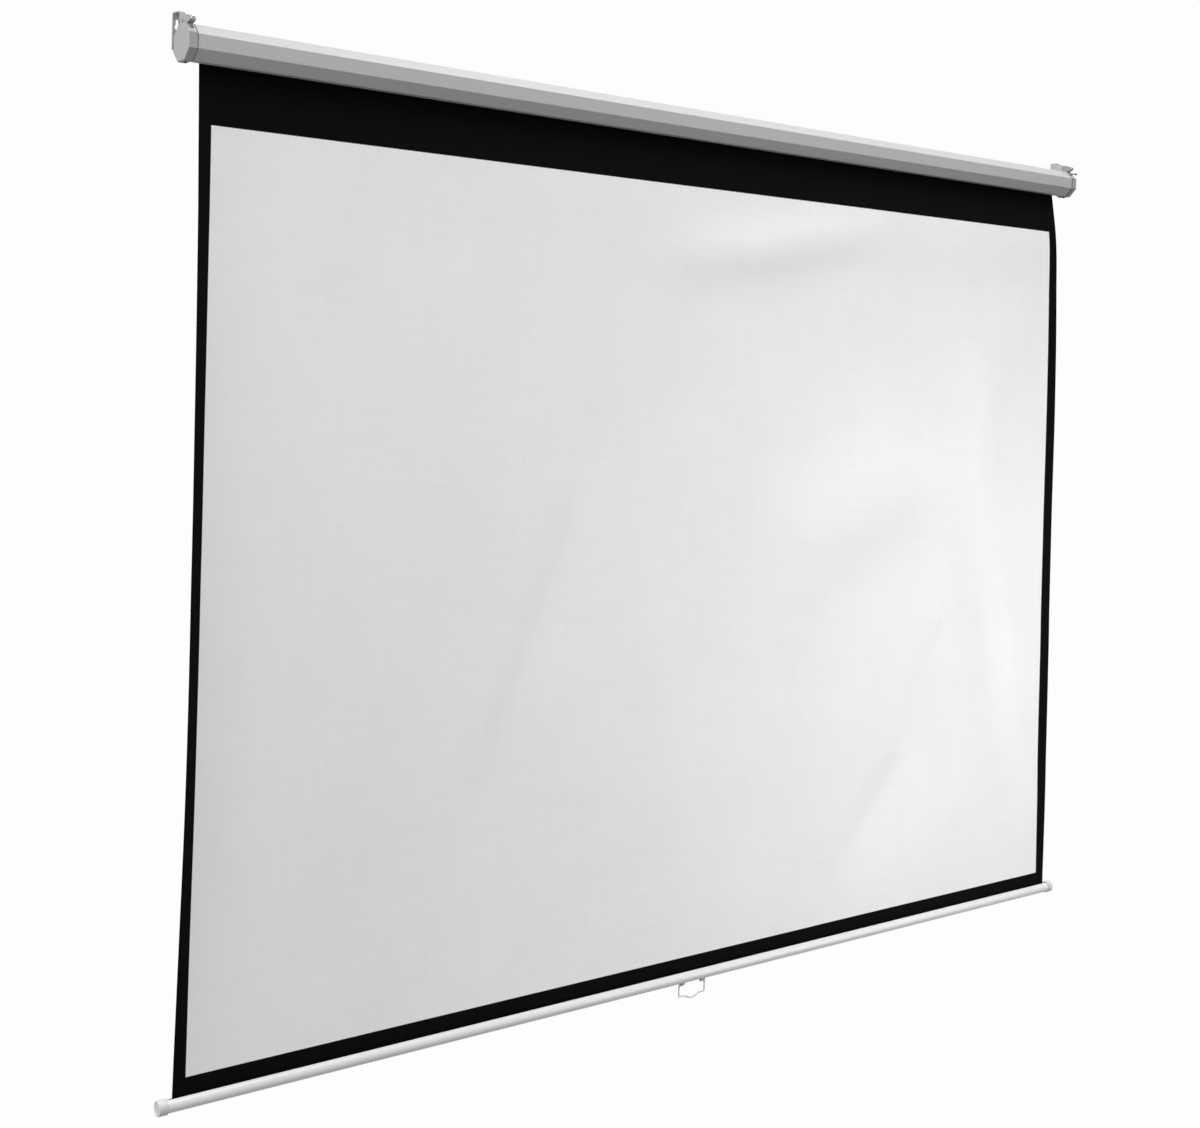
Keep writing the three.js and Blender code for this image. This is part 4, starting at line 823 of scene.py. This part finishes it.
def stretched(tree, across, down, x_scale, y_scale, detail=3):
    together = tree.nodes.new("ShaderNodeCombineXYZ")
    tree.links.new(maths(tree, "MULTIPLY", across, x_scale), together.inputs["X"])
    tree.links.new(maths(tree, "MULTIPLY", down, y_scale), together.inputs["Y"])
    return noise_of(tree, together.outputs[0], 1.0, detail, 0.6)


def threads(tree, across, down):
    """The over and under of a plain weave."""
    warp = maths(tree, "SINE", maths(tree, "MULTIPLY", across, math.pi / THREAD_PITCH))
    weft = maths(tree, "SINE", maths(tree, "MULTIPLY", down, math.pi / THREAD_PITCH))
    return maths(tree, "MULTIPLY", warp, weft)


cloth_finish, tree, skin = new_finish("picture_cloth")
across_m, down_m = cloth_metres(tree)
left = soft_step(tree, across_m, LEFT_BORDER)
right = inside(tree, soft_step(tree, across_m, CLOTH_WIDTH - RIGHT_BORDER))
# the leader's lower edge is printed a few millimetres lower at the left
slanted = maths(tree, "MULTIPLY_ADD", across_m, LEADER_SLANT / CLOTH_WIDTH, down_m)
upper = soft_step(tree, slanted, picture_start + LEADER_SLANT)
lower = inside(tree, soft_step(tree, down_m, picture_end))
picture_mask = maths(tree, "MULTIPLY", maths(tree, "MULTIPLY", left, right),
                     maths(tree, "MULTIPLY", upper, lower))
upright = stretched(tree, across_m, down_m, STREAKS_FINE, STREAKS_LONG)
crosswise = stretched(tree, across_m, down_m, STREAKS_LONG, STREAKS_FINE)
clouds = stretched(tree, across_m, down_m, 4, 4, 5)
tone = mix(tree, [(upright, 0.3), (crosswise, 0.3), (clouds, 0.4)])
# painted shade: the white is made darker along its left side
left_shade = maths(tree, "MULTIPLY_ADD", soft_step(tree, across_m, LEFT_SHADE_WIDTH / 2, LEFT_SHADE_WIDTH),
              1 - LEFT_SHADE_SHARE, LEFT_SHADE_SHARE)
white = blend_colours(tree, maths(tree, "MULTIPLY", tone, left_shade), (0.78, 0.782, 0.785),
                      (0.95, 0.95, 0.948))
black = blend_colours(tree, tone, (0.0016, 0.0016, 0.0017), (0.0036, 0.0036, 0.0038))
tree.links.new(blend_colours(tree, picture_mask, black, white), skin.inputs["Base Color"])
tree.links.new(remap(tree, tone, low=0.72, high=0.9), skin.inputs["Roughness"])
skin.inputs["Specular IOR Level"].default_value = 0.06
weave = mix(tree, [(threads(tree, across_m, down_m), 0.12), (tone, 1.0)])
bumps(tree, skin, weave, 0.00025)

cloth_back, tree, skin = new_finish("cloth_back")
across_m, down_m = cloth_metres(tree)
tone = stretched(tree, across_m, down_m, 30, 30, 4)
tree.links.new(blend_colours(tree, tone, (0.006, 0.006, 0.0065), (0.016, 0.016, 0.017)),
               skin.inputs["Base Color"])
tree.links.new(remap(tree, tone, low=0.6, high=0.8), skin.inputs["Roughness"])
bumps(tree, skin, threads(tree, across_m, down_m), 0.00003)

# %% Cloth thickness and riding
for piece in (cloth, hem, top):
    piece.data.materials.append(cloth_finish)
    piece.data.materials.append(cloth_back)
    apply_modifier(piece, "SOLIDIFY", thickness=CLOTH_THICKNESS, offset=0, material_offset=1,
                   material_offset_rim=1)
front_faces = sum(face.material_index == 0 for face in cloth.data.polygons)
facing = sum(face.normal.y for face in cloth.data.polygons if face.material_index == 0)
print("cloth faces", len(cloth.data.polygons), "front", front_faces,
      "facing", round(facing / front_faces, 2))
for piece, body in ((cloth, "case"), (hem, "bottom_bar"), (top, "case")):
    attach(piece, body)
    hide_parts("screen_fabric")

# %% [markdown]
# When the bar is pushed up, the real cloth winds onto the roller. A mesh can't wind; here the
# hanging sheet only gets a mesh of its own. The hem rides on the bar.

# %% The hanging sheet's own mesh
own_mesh(cloth)

# %% [markdown]
# On the roller the last two turns of cloth stay wound. Seen end on they are a spiral, not rings,
# so they are one sheet that winds outwards by a little more than its own thickness each turn.
# Both of its sides are black, as the leader's are.

# %% Cloth left on the roller
wraps_lo, wraps_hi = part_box("fabric_wraps")
axis_y, axis_z = (wraps_lo.y + wraps_hi.y) / 2, (wraps_lo.z + wraps_hi.z) / 2
outer = (wraps_hi.z - wraps_lo.z) / 2 - CLOTH_THICKNESS / 2
TURNS_LEFT, TURN_STEPS = 2, 97
PITCH, WOUND_THICKNESS = 0.00047, 0.0004
spiral = np.linspace(0, 2 * math.pi * TURNS_LEFT, TURN_STEPS)
spiral_radius = outer - PITCH * TURNS_LEFT + PITCH * spiral / (2 * math.pi)
wound_x, wound_turn = np.meshgrid(few_across, spiral)
wound_radius = np.repeat(spiral_radius[:, None], FEW_COLUMNS, 1)
wound = np.stack([wound_x, axis_y - wound_radius * np.sin(wound_turn),
                  axis_z - wound_radius * np.cos(wound_turn)], axis=-1)
wound_travel = lengths_along(wound[:, 0])
wound_cloth = sheet_mesh("wound_cloth", wound, wound_travel / wound_travel[-1],
                         np.linspace(0, 1, FEW_COLUMNS))
apply_modifier(wound_cloth, "SOLIDIFY", thickness=WOUND_THICKNESS, offset=0)
wound_cloth.data.materials.append(cloth_back)
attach(wound_cloth, "roller")
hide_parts("fabric_wraps")
print("wound cloth", round(float(wound_travel[-1]), 4), "m in", TURNS_LEFT, "turns")

# %% [markdown]
# The case is one long strip of sheet steel, folded to eight sides and left open along a slot
# underneath, where both edges are turned up so that they can't cut the cloth. It could be cut from
# a solid bar, but folding it as the factory does gives the right edges for free: an eight-sided
# ring loses the corner where the slot lies, its ends are drawn in to the lips, the outline is
# drawn out along the case, the folds get their bend radius, and only then does the sheet get
# its thickness.

# %% Folded case
case_middle_y = (case_lo.y + case_hi.y) / 2
case_length = case_hi.x - case_lo.x
half_flats = (case_hi.z - case_lo.z) / 2
eighth = math.tan(math.pi / 8)
LIP_FRONT, LIP_REAR, LIP_HEIGHT = 0.005, 0.019, 0.005
SHEET_THICKNESS, LIP_BEND, FOLD_BEND, BEND_STEPS = 0.0012, 0.0019, 0.0011, 5
SAME_PLACE = 1e-5
centre = Vector((case_lo.x, case_middle_y, 0))
case = start_piece("folded_case", bpy.ops.mesh.primitive_circle_add, vertices=8,
                   radius=half_flats / math.cos(math.pi / 8), location=centre,
                   rotation=(0, math.pi / 2, 0))
fasten_place(case)
bpy.ops.object.mode_set(mode="EDIT")
bpy.ops.mesh.select_all(action="SELECT")
bpy.ops.transform.rotate(value=math.pi / 8, orient_axis="X", center_override=centre)
leave_edit()
# the corner under the rear is the lowest one behind the middle
pick(case, "corners",
     lambda p: p.y > case_middle_y + half_flats * 0.3 and p.z < -half_flats * 0.9)
bpy.ops.mesh.delete(type="VERT")
front_y, rear_y = case_middle_y + LIP_FRONT, case_middle_y + LIP_REAR
rear_z = LIP_REAR - half_flats * (1 + eighth)
front_lip = [(front_y, -half_flats), (front_y, -half_flats + LIP_HEIGHT)]
rear_lip = [(rear_y, rear_z), (rear_y, rear_z + LIP_HEIGHT)]


def near(point, corner, reach=SAME_PLACE):
    return math.dist((point.y, point.z), corner) < reach


def draw_on(piece, corner, stops):
    """Draws the open end at corner on through the given (y, z) points."""
    for stop in stops:
        pick(piece, "corners", lambda p: near(p, corner))
        bpy.ops.mesh.extrude_vertices_move(
            TRANSFORM_OT_translate={"value": (0, stop[0] - corner[0], stop[1] - corner[1])})
        leave_edit()
        corner = stop


draw_on(case, (case_middle_y - half_flats * eighth, -half_flats), front_lip)
draw_on(case, (case_middle_y + half_flats, -half_flats * eighth), rear_lip)
pick(case, "edges", lambda a, b: True)
bpy.ops.mesh.extrude_edges_move(TRANSFORM_OT_translate={"value": (case_length, 0, 0)})
face_outwards(case)
print("case outline sides", len(case.data.polygons))

# %% Folds and thickness of the case
lip_corners = [front_lip[0], rear_lip[0]]


def runs_along(a, b):
    return abs(a.x - b.x) >= case_length / 2


def at_any(point, corners, reach=SAME_PLACE):
    return any(near(point, corner, reach) for corner in corners)


pick(case, "edges", lambda a, b: runs_along(a, b) and at_any(a, lip_corners))
bpy.ops.mesh.bevel(offset=LIP_BEND, segments=BEND_STEPS, affect="EDGES")
leave_edit()
# the folds are what is left: neither an open end nor a line of the bends just made
lip_ends = [front_lip[1], rear_lip[1]]
CLEAR_OF_BEND = 0.0025
pick(case, "edges", lambda a, b: runs_along(a, b) and not at_any(a, lip_ends)
     and not at_any(a, lip_corners, CLEAR_OF_BEND))
bpy.ops.mesh.bevel(offset=FOLD_BEND, segments=BEND_STEPS, affect="EDGES")
leave_edit()
outward = sum(face.normal.dot(Vector((0, face.center.y - case_middle_y, face.center.z)))
              for face in case.data.polygons)
apply_modifier(case, "SOLIDIFY", thickness=SHEET_THICKNESS, offset=-1 if outward > 0 else 1)
mark_edges(case, SHEET_THICKNESS / 2)
shade(case)
finish_piece(case, "case", "white_steel", case_paint, "case_shell")

# %% [markdown]
# The end caps and the wall brackets are already exact in the measured model, with the ear, its
# step, the tapering groove and the keyhole. What a moulding and a punched plate also have
# is softened edges, which catch a thin line of light. So a copy of each is merged into clean
# faces and its edges are rounded: half a millimetre on the plastic, less on the steel. Each ear
# also has a narrow pocket above the groove, cut with a block, which stays dark inside.


# %% Caps and brackets
def cut_away(piece, blade):
    """Cuts a blade's shape out of a piece and throws the blade away."""
    take(piece)
    modifier = piece.modifiers.new("cut", "BOOLEAN")
    modifier.object, modifier.operation, modifier.solver = blade, "DIFFERENCE", "EXACT"
    bpy.ops.object.modifier_apply(modifier=modifier.name)
    bpy.data.objects.remove(blade, do_unlink=True)


def softened_copy(node, name, width, segments=2, angle=28, blade=None):
    """A copy of a measured piece with its loose triangles merged and its edges rounded."""
    source = frame["nodes"][node]
    take(source)
    bpy.ops.object.duplicate()
    piece = bpy.context.object
    piece.name = name
    piece.data.name = name
    bpy.ops.object.parent_clear(type="CLEAR_KEEP_TRANSFORM")
    bpy.ops.object.mode_set(mode="EDIT")
    bpy.ops.mesh.select_all(action="SELECT")
    bpy.ops.mesh.remove_doubles(threshold=2e-6)
    bpy.ops.mesh.dissolve_limited(angle_limit=math.radians(1.5))
    leave_edit()
    if blade:
        cut_away(piece, blade)
    soften(piece, width, segments, angle)
    return piece


CAP_ROUND, BRACKET_ROUND, CLIP_ROUND = 0.0005, 0.0003, 0.0003
CAP_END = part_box("end_cap_right")[1].x
POCKET_SIZE = (0.012, 0.0032, 0.0115)
POCKET_PLACE = (CAP_END - 0.007, -0.031, 0.0400)


def pocket_block(way):
    """The block that cuts the pocket of the cap on one side."""
    block = start_piece("pocket_block", bpy.ops.mesh.primitive_cube_add, size=1,
                        location=(way * POCKET_PLACE[0], *POCKET_PLACE[1:]))
    block.scale = POCKET_SIZE
    fasten_place(block)
    return block


for side, way in (("left", -1), ("right", 1)):
    cap = softened_copy(f"end_cap_{side}", f"moulded_cap_{side}", CAP_ROUND,
                        blade=pocket_block(way))
    finish_piece(cap, "case", "white_plastic", cap_plastic, f"end_cap_{side}")
    bracket = softened_copy(f"end_bracket_{side}", f"wall_bracket_{side}", BRACKET_ROUND)
    finish_piece(bracket, "case", "bracket_steel", bracket_metal, f"end_bracket_{side}")

# %% [markdown]
# Each cap is held by two blacked screws with a rounded pan head and a crossed recess, and the nose
# of its ear carries a plated one with a wider head. All are made the same way: a short cylinder
# whose upper edge is bevelled round, a shank drawn out of its underside with a pointed end, and
# a cross sunk into the head by cutting with two crossed tapered blades. Each size is modelled
# once, and its copies are turned to their seats. The handle's clips get smaller ones later.


# %% Screws
HEAD_ROUND, RECESS_DEPTH = 0.6, 0.6  # of the head's height
POINT_SHARE, POINT_WIDTH = 0.25, 0.25  # of the shank's length and width
BLADE_LENGTH, BLADE_WIDTH, BLADE_TIP = 1.15, 0.26, 0.55  # of the head's radius, and the taper
BLADE_PROUD = 0.0002


def crossed_blades(radius, depth, top):
    """Two crossed blades that taper downwards, for cutting a recess into a head."""
    blades = []
    for quarter in (0, 1):
        blade = start_piece("crossed_blade", bpy.ops.mesh.primitive_cube_add, size=1,
                            location=(0, 0, top - depth / 2 + BLADE_PROUD))
        blade.scale = (radius * BLADE_LENGTH, radius * BLADE_WIDTH, depth)
        blade.rotation_euler = (0, 0, quarter * math.pi / 2)
        fasten_place(blade)
        pick(blade, "faces", lambda c, n: n.z < -0.9)
        bpy.ops.transform.resize(value=(BLADE_TIP, BLADE_TIP, 1), center_override=(0, 0, 0))
        leave_edit()
        blades.append(blade)
    return blades


def pan_screw(name, head_radius, head_height, shank_radius, shank_length):
    """A screw that points down, with the underside of its head at height 0."""
    screw = start_piece(name, bpy.ops.mesh.primitive_cylinder_add, vertices=40,
                        radius=head_radius, depth=head_height, location=(0, 0, head_height / 2))
    fasten_place(screw)
    pick(screw, "edges", lambda a, b: min(a.z, b.z) > head_height * 0.9)
    bpy.ops.mesh.bevel(offset=head_height * HEAD_ROUND, segments=6, affect="EDGES")
    leave_edit()
    pick(screw, "faces", lambda c, n: n.z < -0.9)
    bpy.ops.mesh.inset(thickness=head_radius - shank_radius)
    for share in (1 - POINT_SHARE, POINT_SHARE):
        bpy.ops.mesh.extrude_region_move(
            TRANSFORM_OT_translate={"value": (0, 0, -shank_length * share)})
    bpy.ops.transform.resize(value=(POINT_WIDTH, POINT_WIDTH, 1))
    leave_edit()
    for blade in crossed_blades(head_radius, head_height * RECESS_DEPTH, head_height):
        cut_away(screw, blade)
    face_outwards(screw)
    mark_edges(screw, head_height * 0.2)
    shade(screw, 35)
    return screw


def set_screw(pattern, name, seat, outward):
    """A copy of a screw with its head's underside at seat and its head towards outward."""
    take(pattern)
    bpy.ops.object.duplicate()
    screw = bpy.context.object
    screw.name = name
    screw.location = seat
    screw.rotation_euler = Vector(outward).to_track_quat("Z", "X").to_euler()
    return screw


# %% Screws of the caps
HEAD_HEIGHT, SHANK_RADIUS, SHANK_LENGTH = 0.0022, 0.0019, 0.009
cap_screw = pan_screw("cap_screw_pattern", 0.0030, HEAD_HEIGHT, SHANK_RADIUS, SHANK_LENGTH)
ear_screw = pan_screw("ear_screw_pattern", 0.0042, HEAD_HEIGHT, SHANK_RADIUS, SHANK_LENGTH)
slant = math.sqrt(0.5)
OUTWARD = {"upper": Vector((0, -slant, slant)), "lower": Vector((0, 0, -1))}
for side in ("left", "right"):
    for level_name, way in OUTWARD.items():
        node = f"cap_screw_{side}_{level_name}"
        lo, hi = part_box(node)
        # a screw's box is centred on its own middle, which lies below the head's underside
        seat = (lo + hi) / 2 + way * (SHANK_LENGTH - HEAD_HEIGHT) / 2
        screw = set_screw(cap_screw, f"pan_screw_{side}_{level_name}", seat, way)
        finish_piece(screw, "case", "black_screw", black_oxide, node)
    node = f"ear_screw_{side}"
    lo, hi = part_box(node)
    seat = Vector(((lo.x + hi.x) / 2, lo.y + HEAD_HEIGHT, (lo.z + hi.z) / 2))
    screw = set_screw(ear_screw, f"pan_screw_ear_{side}", seat, (0, -1, 0))
    finish_piece(screw, "case", "zinc_steel", zinc, node)
for pattern in (cap_screw, ear_screw):
    bpy.data.objects.remove(pattern, do_unlink=True)

# %% [markdown]
# A thin headed pin stands out of the right cap. It is turned steel, so it is a slim cylinder with
# a collar drawn out of its end, every edge eased.

# %% Headed pin
pin_lo, pin_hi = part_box("cap_pin_right")
pin_length = pin_hi.x - pin_lo.x
pin_middle = (pin_lo + pin_hi) / 2
PIN_RADIUS, PIN_ROUND, HEAD_LENGTH, HEAD_STEP = 0.0013, 0.0005, 0.004, 0.00002
pin = start_piece(
    "headed_pin", bpy.ops.mesh.primitive_cylinder_add, vertices=36, radius=PIN_RADIUS,
    depth=pin_length - HEAD_LENGTH,
    location=(pin_lo.x + (pin_length - HEAD_LENGTH) / 2, pin_middle.y, pin_middle.z),
    rotation=(0, math.pi / 2, 0))
fasten_place(pin)
pick(pin, "faces", lambda c, n: n.x > 0.9)
bpy.ops.mesh.extrude_region_move(TRANSFORM_OT_translate={"value": (HEAD_STEP, 0, 0)})
bpy.ops.transform.resize(value=(1, 2, 2), center_override=(pin_hi.x, pin_middle.y, pin_middle.z))
bpy.ops.mesh.extrude_region_move(
    TRANSFORM_OT_translate={"value": (HEAD_LENGTH - HEAD_STEP, 0, 0)})
leave_edit()
soften(pin, PIN_ROUND, 3)
finish_piece(pin, "case", "black_screw", black_oxide, "cap_pin_right")

# %% [markdown]
# The bottom bar is a thin round tube with a slot along its top that holds the hem. Its outline is
# a circle of many sides that loses the few next to the slot and is then drawn along the bar and
# thickened inwards. On each end sits a moulded cap, a little thicker than the tube, with
# a rounded end and a shallow dish in it where the mould was filled.

# %% Bar tube
bar_middle = (bar_lo + bar_hi) / 2
bar_radius = (bar_hi.y - bar_lo.y) / 2
bar_length = bar_hi.x - bar_lo.x
SLOT_HALF, TUBE_WALL, TUBE_SIDES = 0.0022, 0.0015, 96
tube = start_piece("bar_profile", bpy.ops.mesh.primitive_circle_add, vertices=TUBE_SIDES,
                   radius=bar_radius, location=(bar_lo.x, bar_middle.y, bar_middle.z),
                   rotation=(0, math.pi / 2, 0))
fasten_place(tube)
pick(tube, "corners", lambda p: p.z > bar_middle.z and abs(p.y - bar_middle.y) < SLOT_HALF)
bpy.ops.mesh.delete(type="VERT")
pick(tube, "edges", lambda a, b: True)
bpy.ops.mesh.extrude_edges_move(TRANSFORM_OT_translate={"value": (bar_length, 0, 0)})
face_outwards(tube)
outward = sum(face.normal.dot(face.center - Vector((face.center.x, bar_middle.y, bar_middle.z)))
              for face in tube.data.polygons)
apply_modifier(tube, "SOLIDIFY", thickness=TUBE_WALL, offset=-1 if outward > 0 else 1)
shade(tube)
finish_piece(tube, "bottom_bar", "white_steel", tube_paint, "bar_tube")


# %% Bar caps
END_ROUND, MOUTH_ROUND = 0.0018, 0.0003
DISH_STEPS = ((0.0012, 0), (0.0006, 0.0008), (0.0052, 0.0003))  # how far in, and how deep
TUBE_PLAY, END_WALL = 0.0003, 0.0026


def bar_cap(side):
    node = f"bar_cap_{side}"
    lo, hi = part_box(node)
    centre = (lo + hi) / 2
    radius, length = (hi.y - lo.y) / 2, hi.x - lo.x
    way = 1 if centre.x > 0 else -1
    cap = start_piece(f"moulded_bar_cap_{side}", bpy.ops.mesh.primitive_cylinder_add, vertices=72,
                      radius=radius, depth=length, location=centre,
                      rotation=(0, math.pi / 2, 0))
    fasten_place(cap)
    end_x = centre.x + way * length / 2
    pick(cap, "edges", lambda a, b: max(abs(a.x - end_x), abs(b.x - end_x)) < 1e-6)
    bpy.ops.mesh.bevel(offset=END_ROUND, segments=6, affect="EDGES")
    leave_edit()
    # only the flat end face looks this straight outwards, and no face of the rounded edge
    pick(cap, "faces", lambda c, n: n.x * way > 0.9999)
    for inward, sink in DISH_STEPS:
        bpy.ops.mesh.inset(thickness=inward)
        bpy.ops.transform.translate(value=(-way * sink, 0, 0))
    leave_edit()
    # hollow it from the mouth
    pick(cap, "faces", lambda c, n: n.x * way < -0.99)
    bpy.ops.mesh.inset(thickness=radius - bar_radius - TUBE_PLAY)
    bpy.ops.mesh.extrude_region_move(
        TRANSFORM_OT_translate={"value": (way * (length - END_WALL), 0, 0)})
    leave_edit()
    face_outwards(cap)
    soften(cap, MOUTH_ROUND, 2, 40)
    finish_piece(cap, "bottom_bar", "white_plastic", bar_cap_plastic, node)


for side in ("left", "right"):
    bar_cap(side)

# %% [markdown]
# The pull handle is one length of coated wire with square shoulders, bowed a little between them
# for the fingers, whose tips turn in to pivot in two small clips under the bar. A curve with a
# round section is the natural way to make a wire: its points are where a bender's pins would be.
# It is then turned into a mesh, because a finished piece should not depend on curve settings.

# %% Handle wire
handle_lo, handle_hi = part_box("pull_handle")
WIRE_RADIUS = 0.0016
handle_x = (handle_lo.x + handle_hi.x) / 2
handle_y = (handle_lo.y + handle_hi.y) / 2
pivot_z = handle_hi.z - WIRE_RADIUS
half_width = (handle_hi.x - handle_lo.x) / 2 - WIRE_RADIUS
LEG, SHOULDER, BOW, TURN_IN, CORNER = 0.0228, 0.007, 0.007, 0.010, 0.0032
BOW_POINTS = 9
low_z = handle_lo.z - pivot_z + WIRE_RADIUS + BOW


def corner_bend(x, z, way_x, way_z):
    """Five points that round off a square corner at x, z. They come in along Z, from the side of
    way_z, and leave along X, to the side of way_x."""
    shares = (0, 0.25, 0.5, 0.75, 1)
    return [(x + way_x * CORNER * t * t, z + way_z * CORNER * (1 - t) ** 2) for t in shares]


stops = [(-half_width + TURN_IN, 0), (-half_width + 2 * CORNER, 0)]
stops += corner_bend(-half_width, 0, 1, -1)[::-1]
stops += [(-half_width, -LEG / 2)] + corner_bend(-half_width, low_z, 1, 1)
bow_half = half_width - CORNER - SHOULDER
# from the shoulder the wire sinks to the middle of the bow in a soft S
for share in np.linspace(0, 1, BOW_POINTS)[:-1]:
    inward = share * (1.5 - 1.5 * share + share * share)
    stops.append((-bow_half * (1 - inward), low_z - BOW * share * share * (3 - 2 * share)))
drop_all()
bpy.ops.curve.primitive_bezier_curve_add(location=(handle_x, handle_y, pivot_z))
wire = bpy.context.object
wire.name = "bowed_wire"
curve = wire.data
curve.splines.clear()
line = curve.splines.new("BEZIER")
route = stops + [(0, low_z - BOW)] + [(-x, z) for x, z in stops[::-1]]
line.bezier_points.add(len(route) - 1)
for point, (x, z) in zip(line.bezier_points, route):
    point.co = (x, 0, z)
    point.handle_left_type = point.handle_right_type = "AUTO"
curve.bevel_depth, curve.bevel_resolution, curve.resolution_u = WIRE_RADIUS, 5, 6
curve.use_fill_caps = True
take(wire)
bpy.ops.object.convert(target="MESH")
wire = bpy.context.object
fasten_place(wire)
face_outwards(wire)
shade(wire, 50)
finish_piece(wire, "handle", "handle_wire", wire_coat, "pull_handle")

# %% [markdown]
# Each clip is a small moulded saddle with a barrel for the wire, held to the bar by two small
# screws from below, one in front of the barrel and one behind it. The measured clip gets softened
# edges, and the screws are the caps' pan head again at little more than half its size.

# %% Clips and their screws
clip_screw = pan_screw("clip_screw_pattern", head_radius=0.0017, head_height=0.0011,
                       shank_radius=0.0009, shank_length=0.005)
SADDLE_THICKNESS, CLIP_SCREW_AWAY = 0.0019, 0.0051
saddle_under = bar_middle.z - bar_radius - SADDLE_THICKNESS
for side in ("left", "right"):
    node = f"handle_clip_{side}"
    lo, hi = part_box(node)
    clip = softened_copy(node, f"moulded_clip_{side}", CLIP_ROUND)
    finish_piece(clip, "bottom_bar", "white_plastic", shaded_clip_plastic, node)
    for end, sign in (("front", -1), ("rear", 1)):
        seat = ((lo.x + hi.x) / 2, bar_middle.y + sign * CLIP_SCREW_AWAY, saddle_under)
        screw = set_screw(clip_screw, f"clip_screw_{side}_{end}", seat, (0, 0, -1))
        finish_piece(screw, "bottom_bar", "black_screw", black_oxide)
bpy.data.objects.remove(clip_screw, do_unlink=True)

# %% [markdown]
# The rest of the measured model sits inside the case and already has its right shape: the roller,
# its plugs, the flat-ended axle with the ratchet, the pawls and the spring. These pieces keep
# their meshes and only take the finishes that such pieces have.

# %% Finishes of the inner pieces
INNER = (
    (zinc, ("roller_tube", "gudgeon_pin", "spear_axle", "hem_rod", "pawl_pin_a", "pawl_pin_b")),
    (spring_steel, ("ratchet_sleeve", "torsion_spring", "pawl_a", "pawl_b")),
    (nylon, ("idle_bush", "idle_plug", "spring_mandrel", "spring_anchor", "pawl_carrier")),
)
for finish, names in INNER:
    for name in names:
        materials = frame["nodes"][name].data.materials
        materials.clear()
        materials.append(finish)
print("measured pieces shown as they are:", sum(len(names) for _, names in INNER))
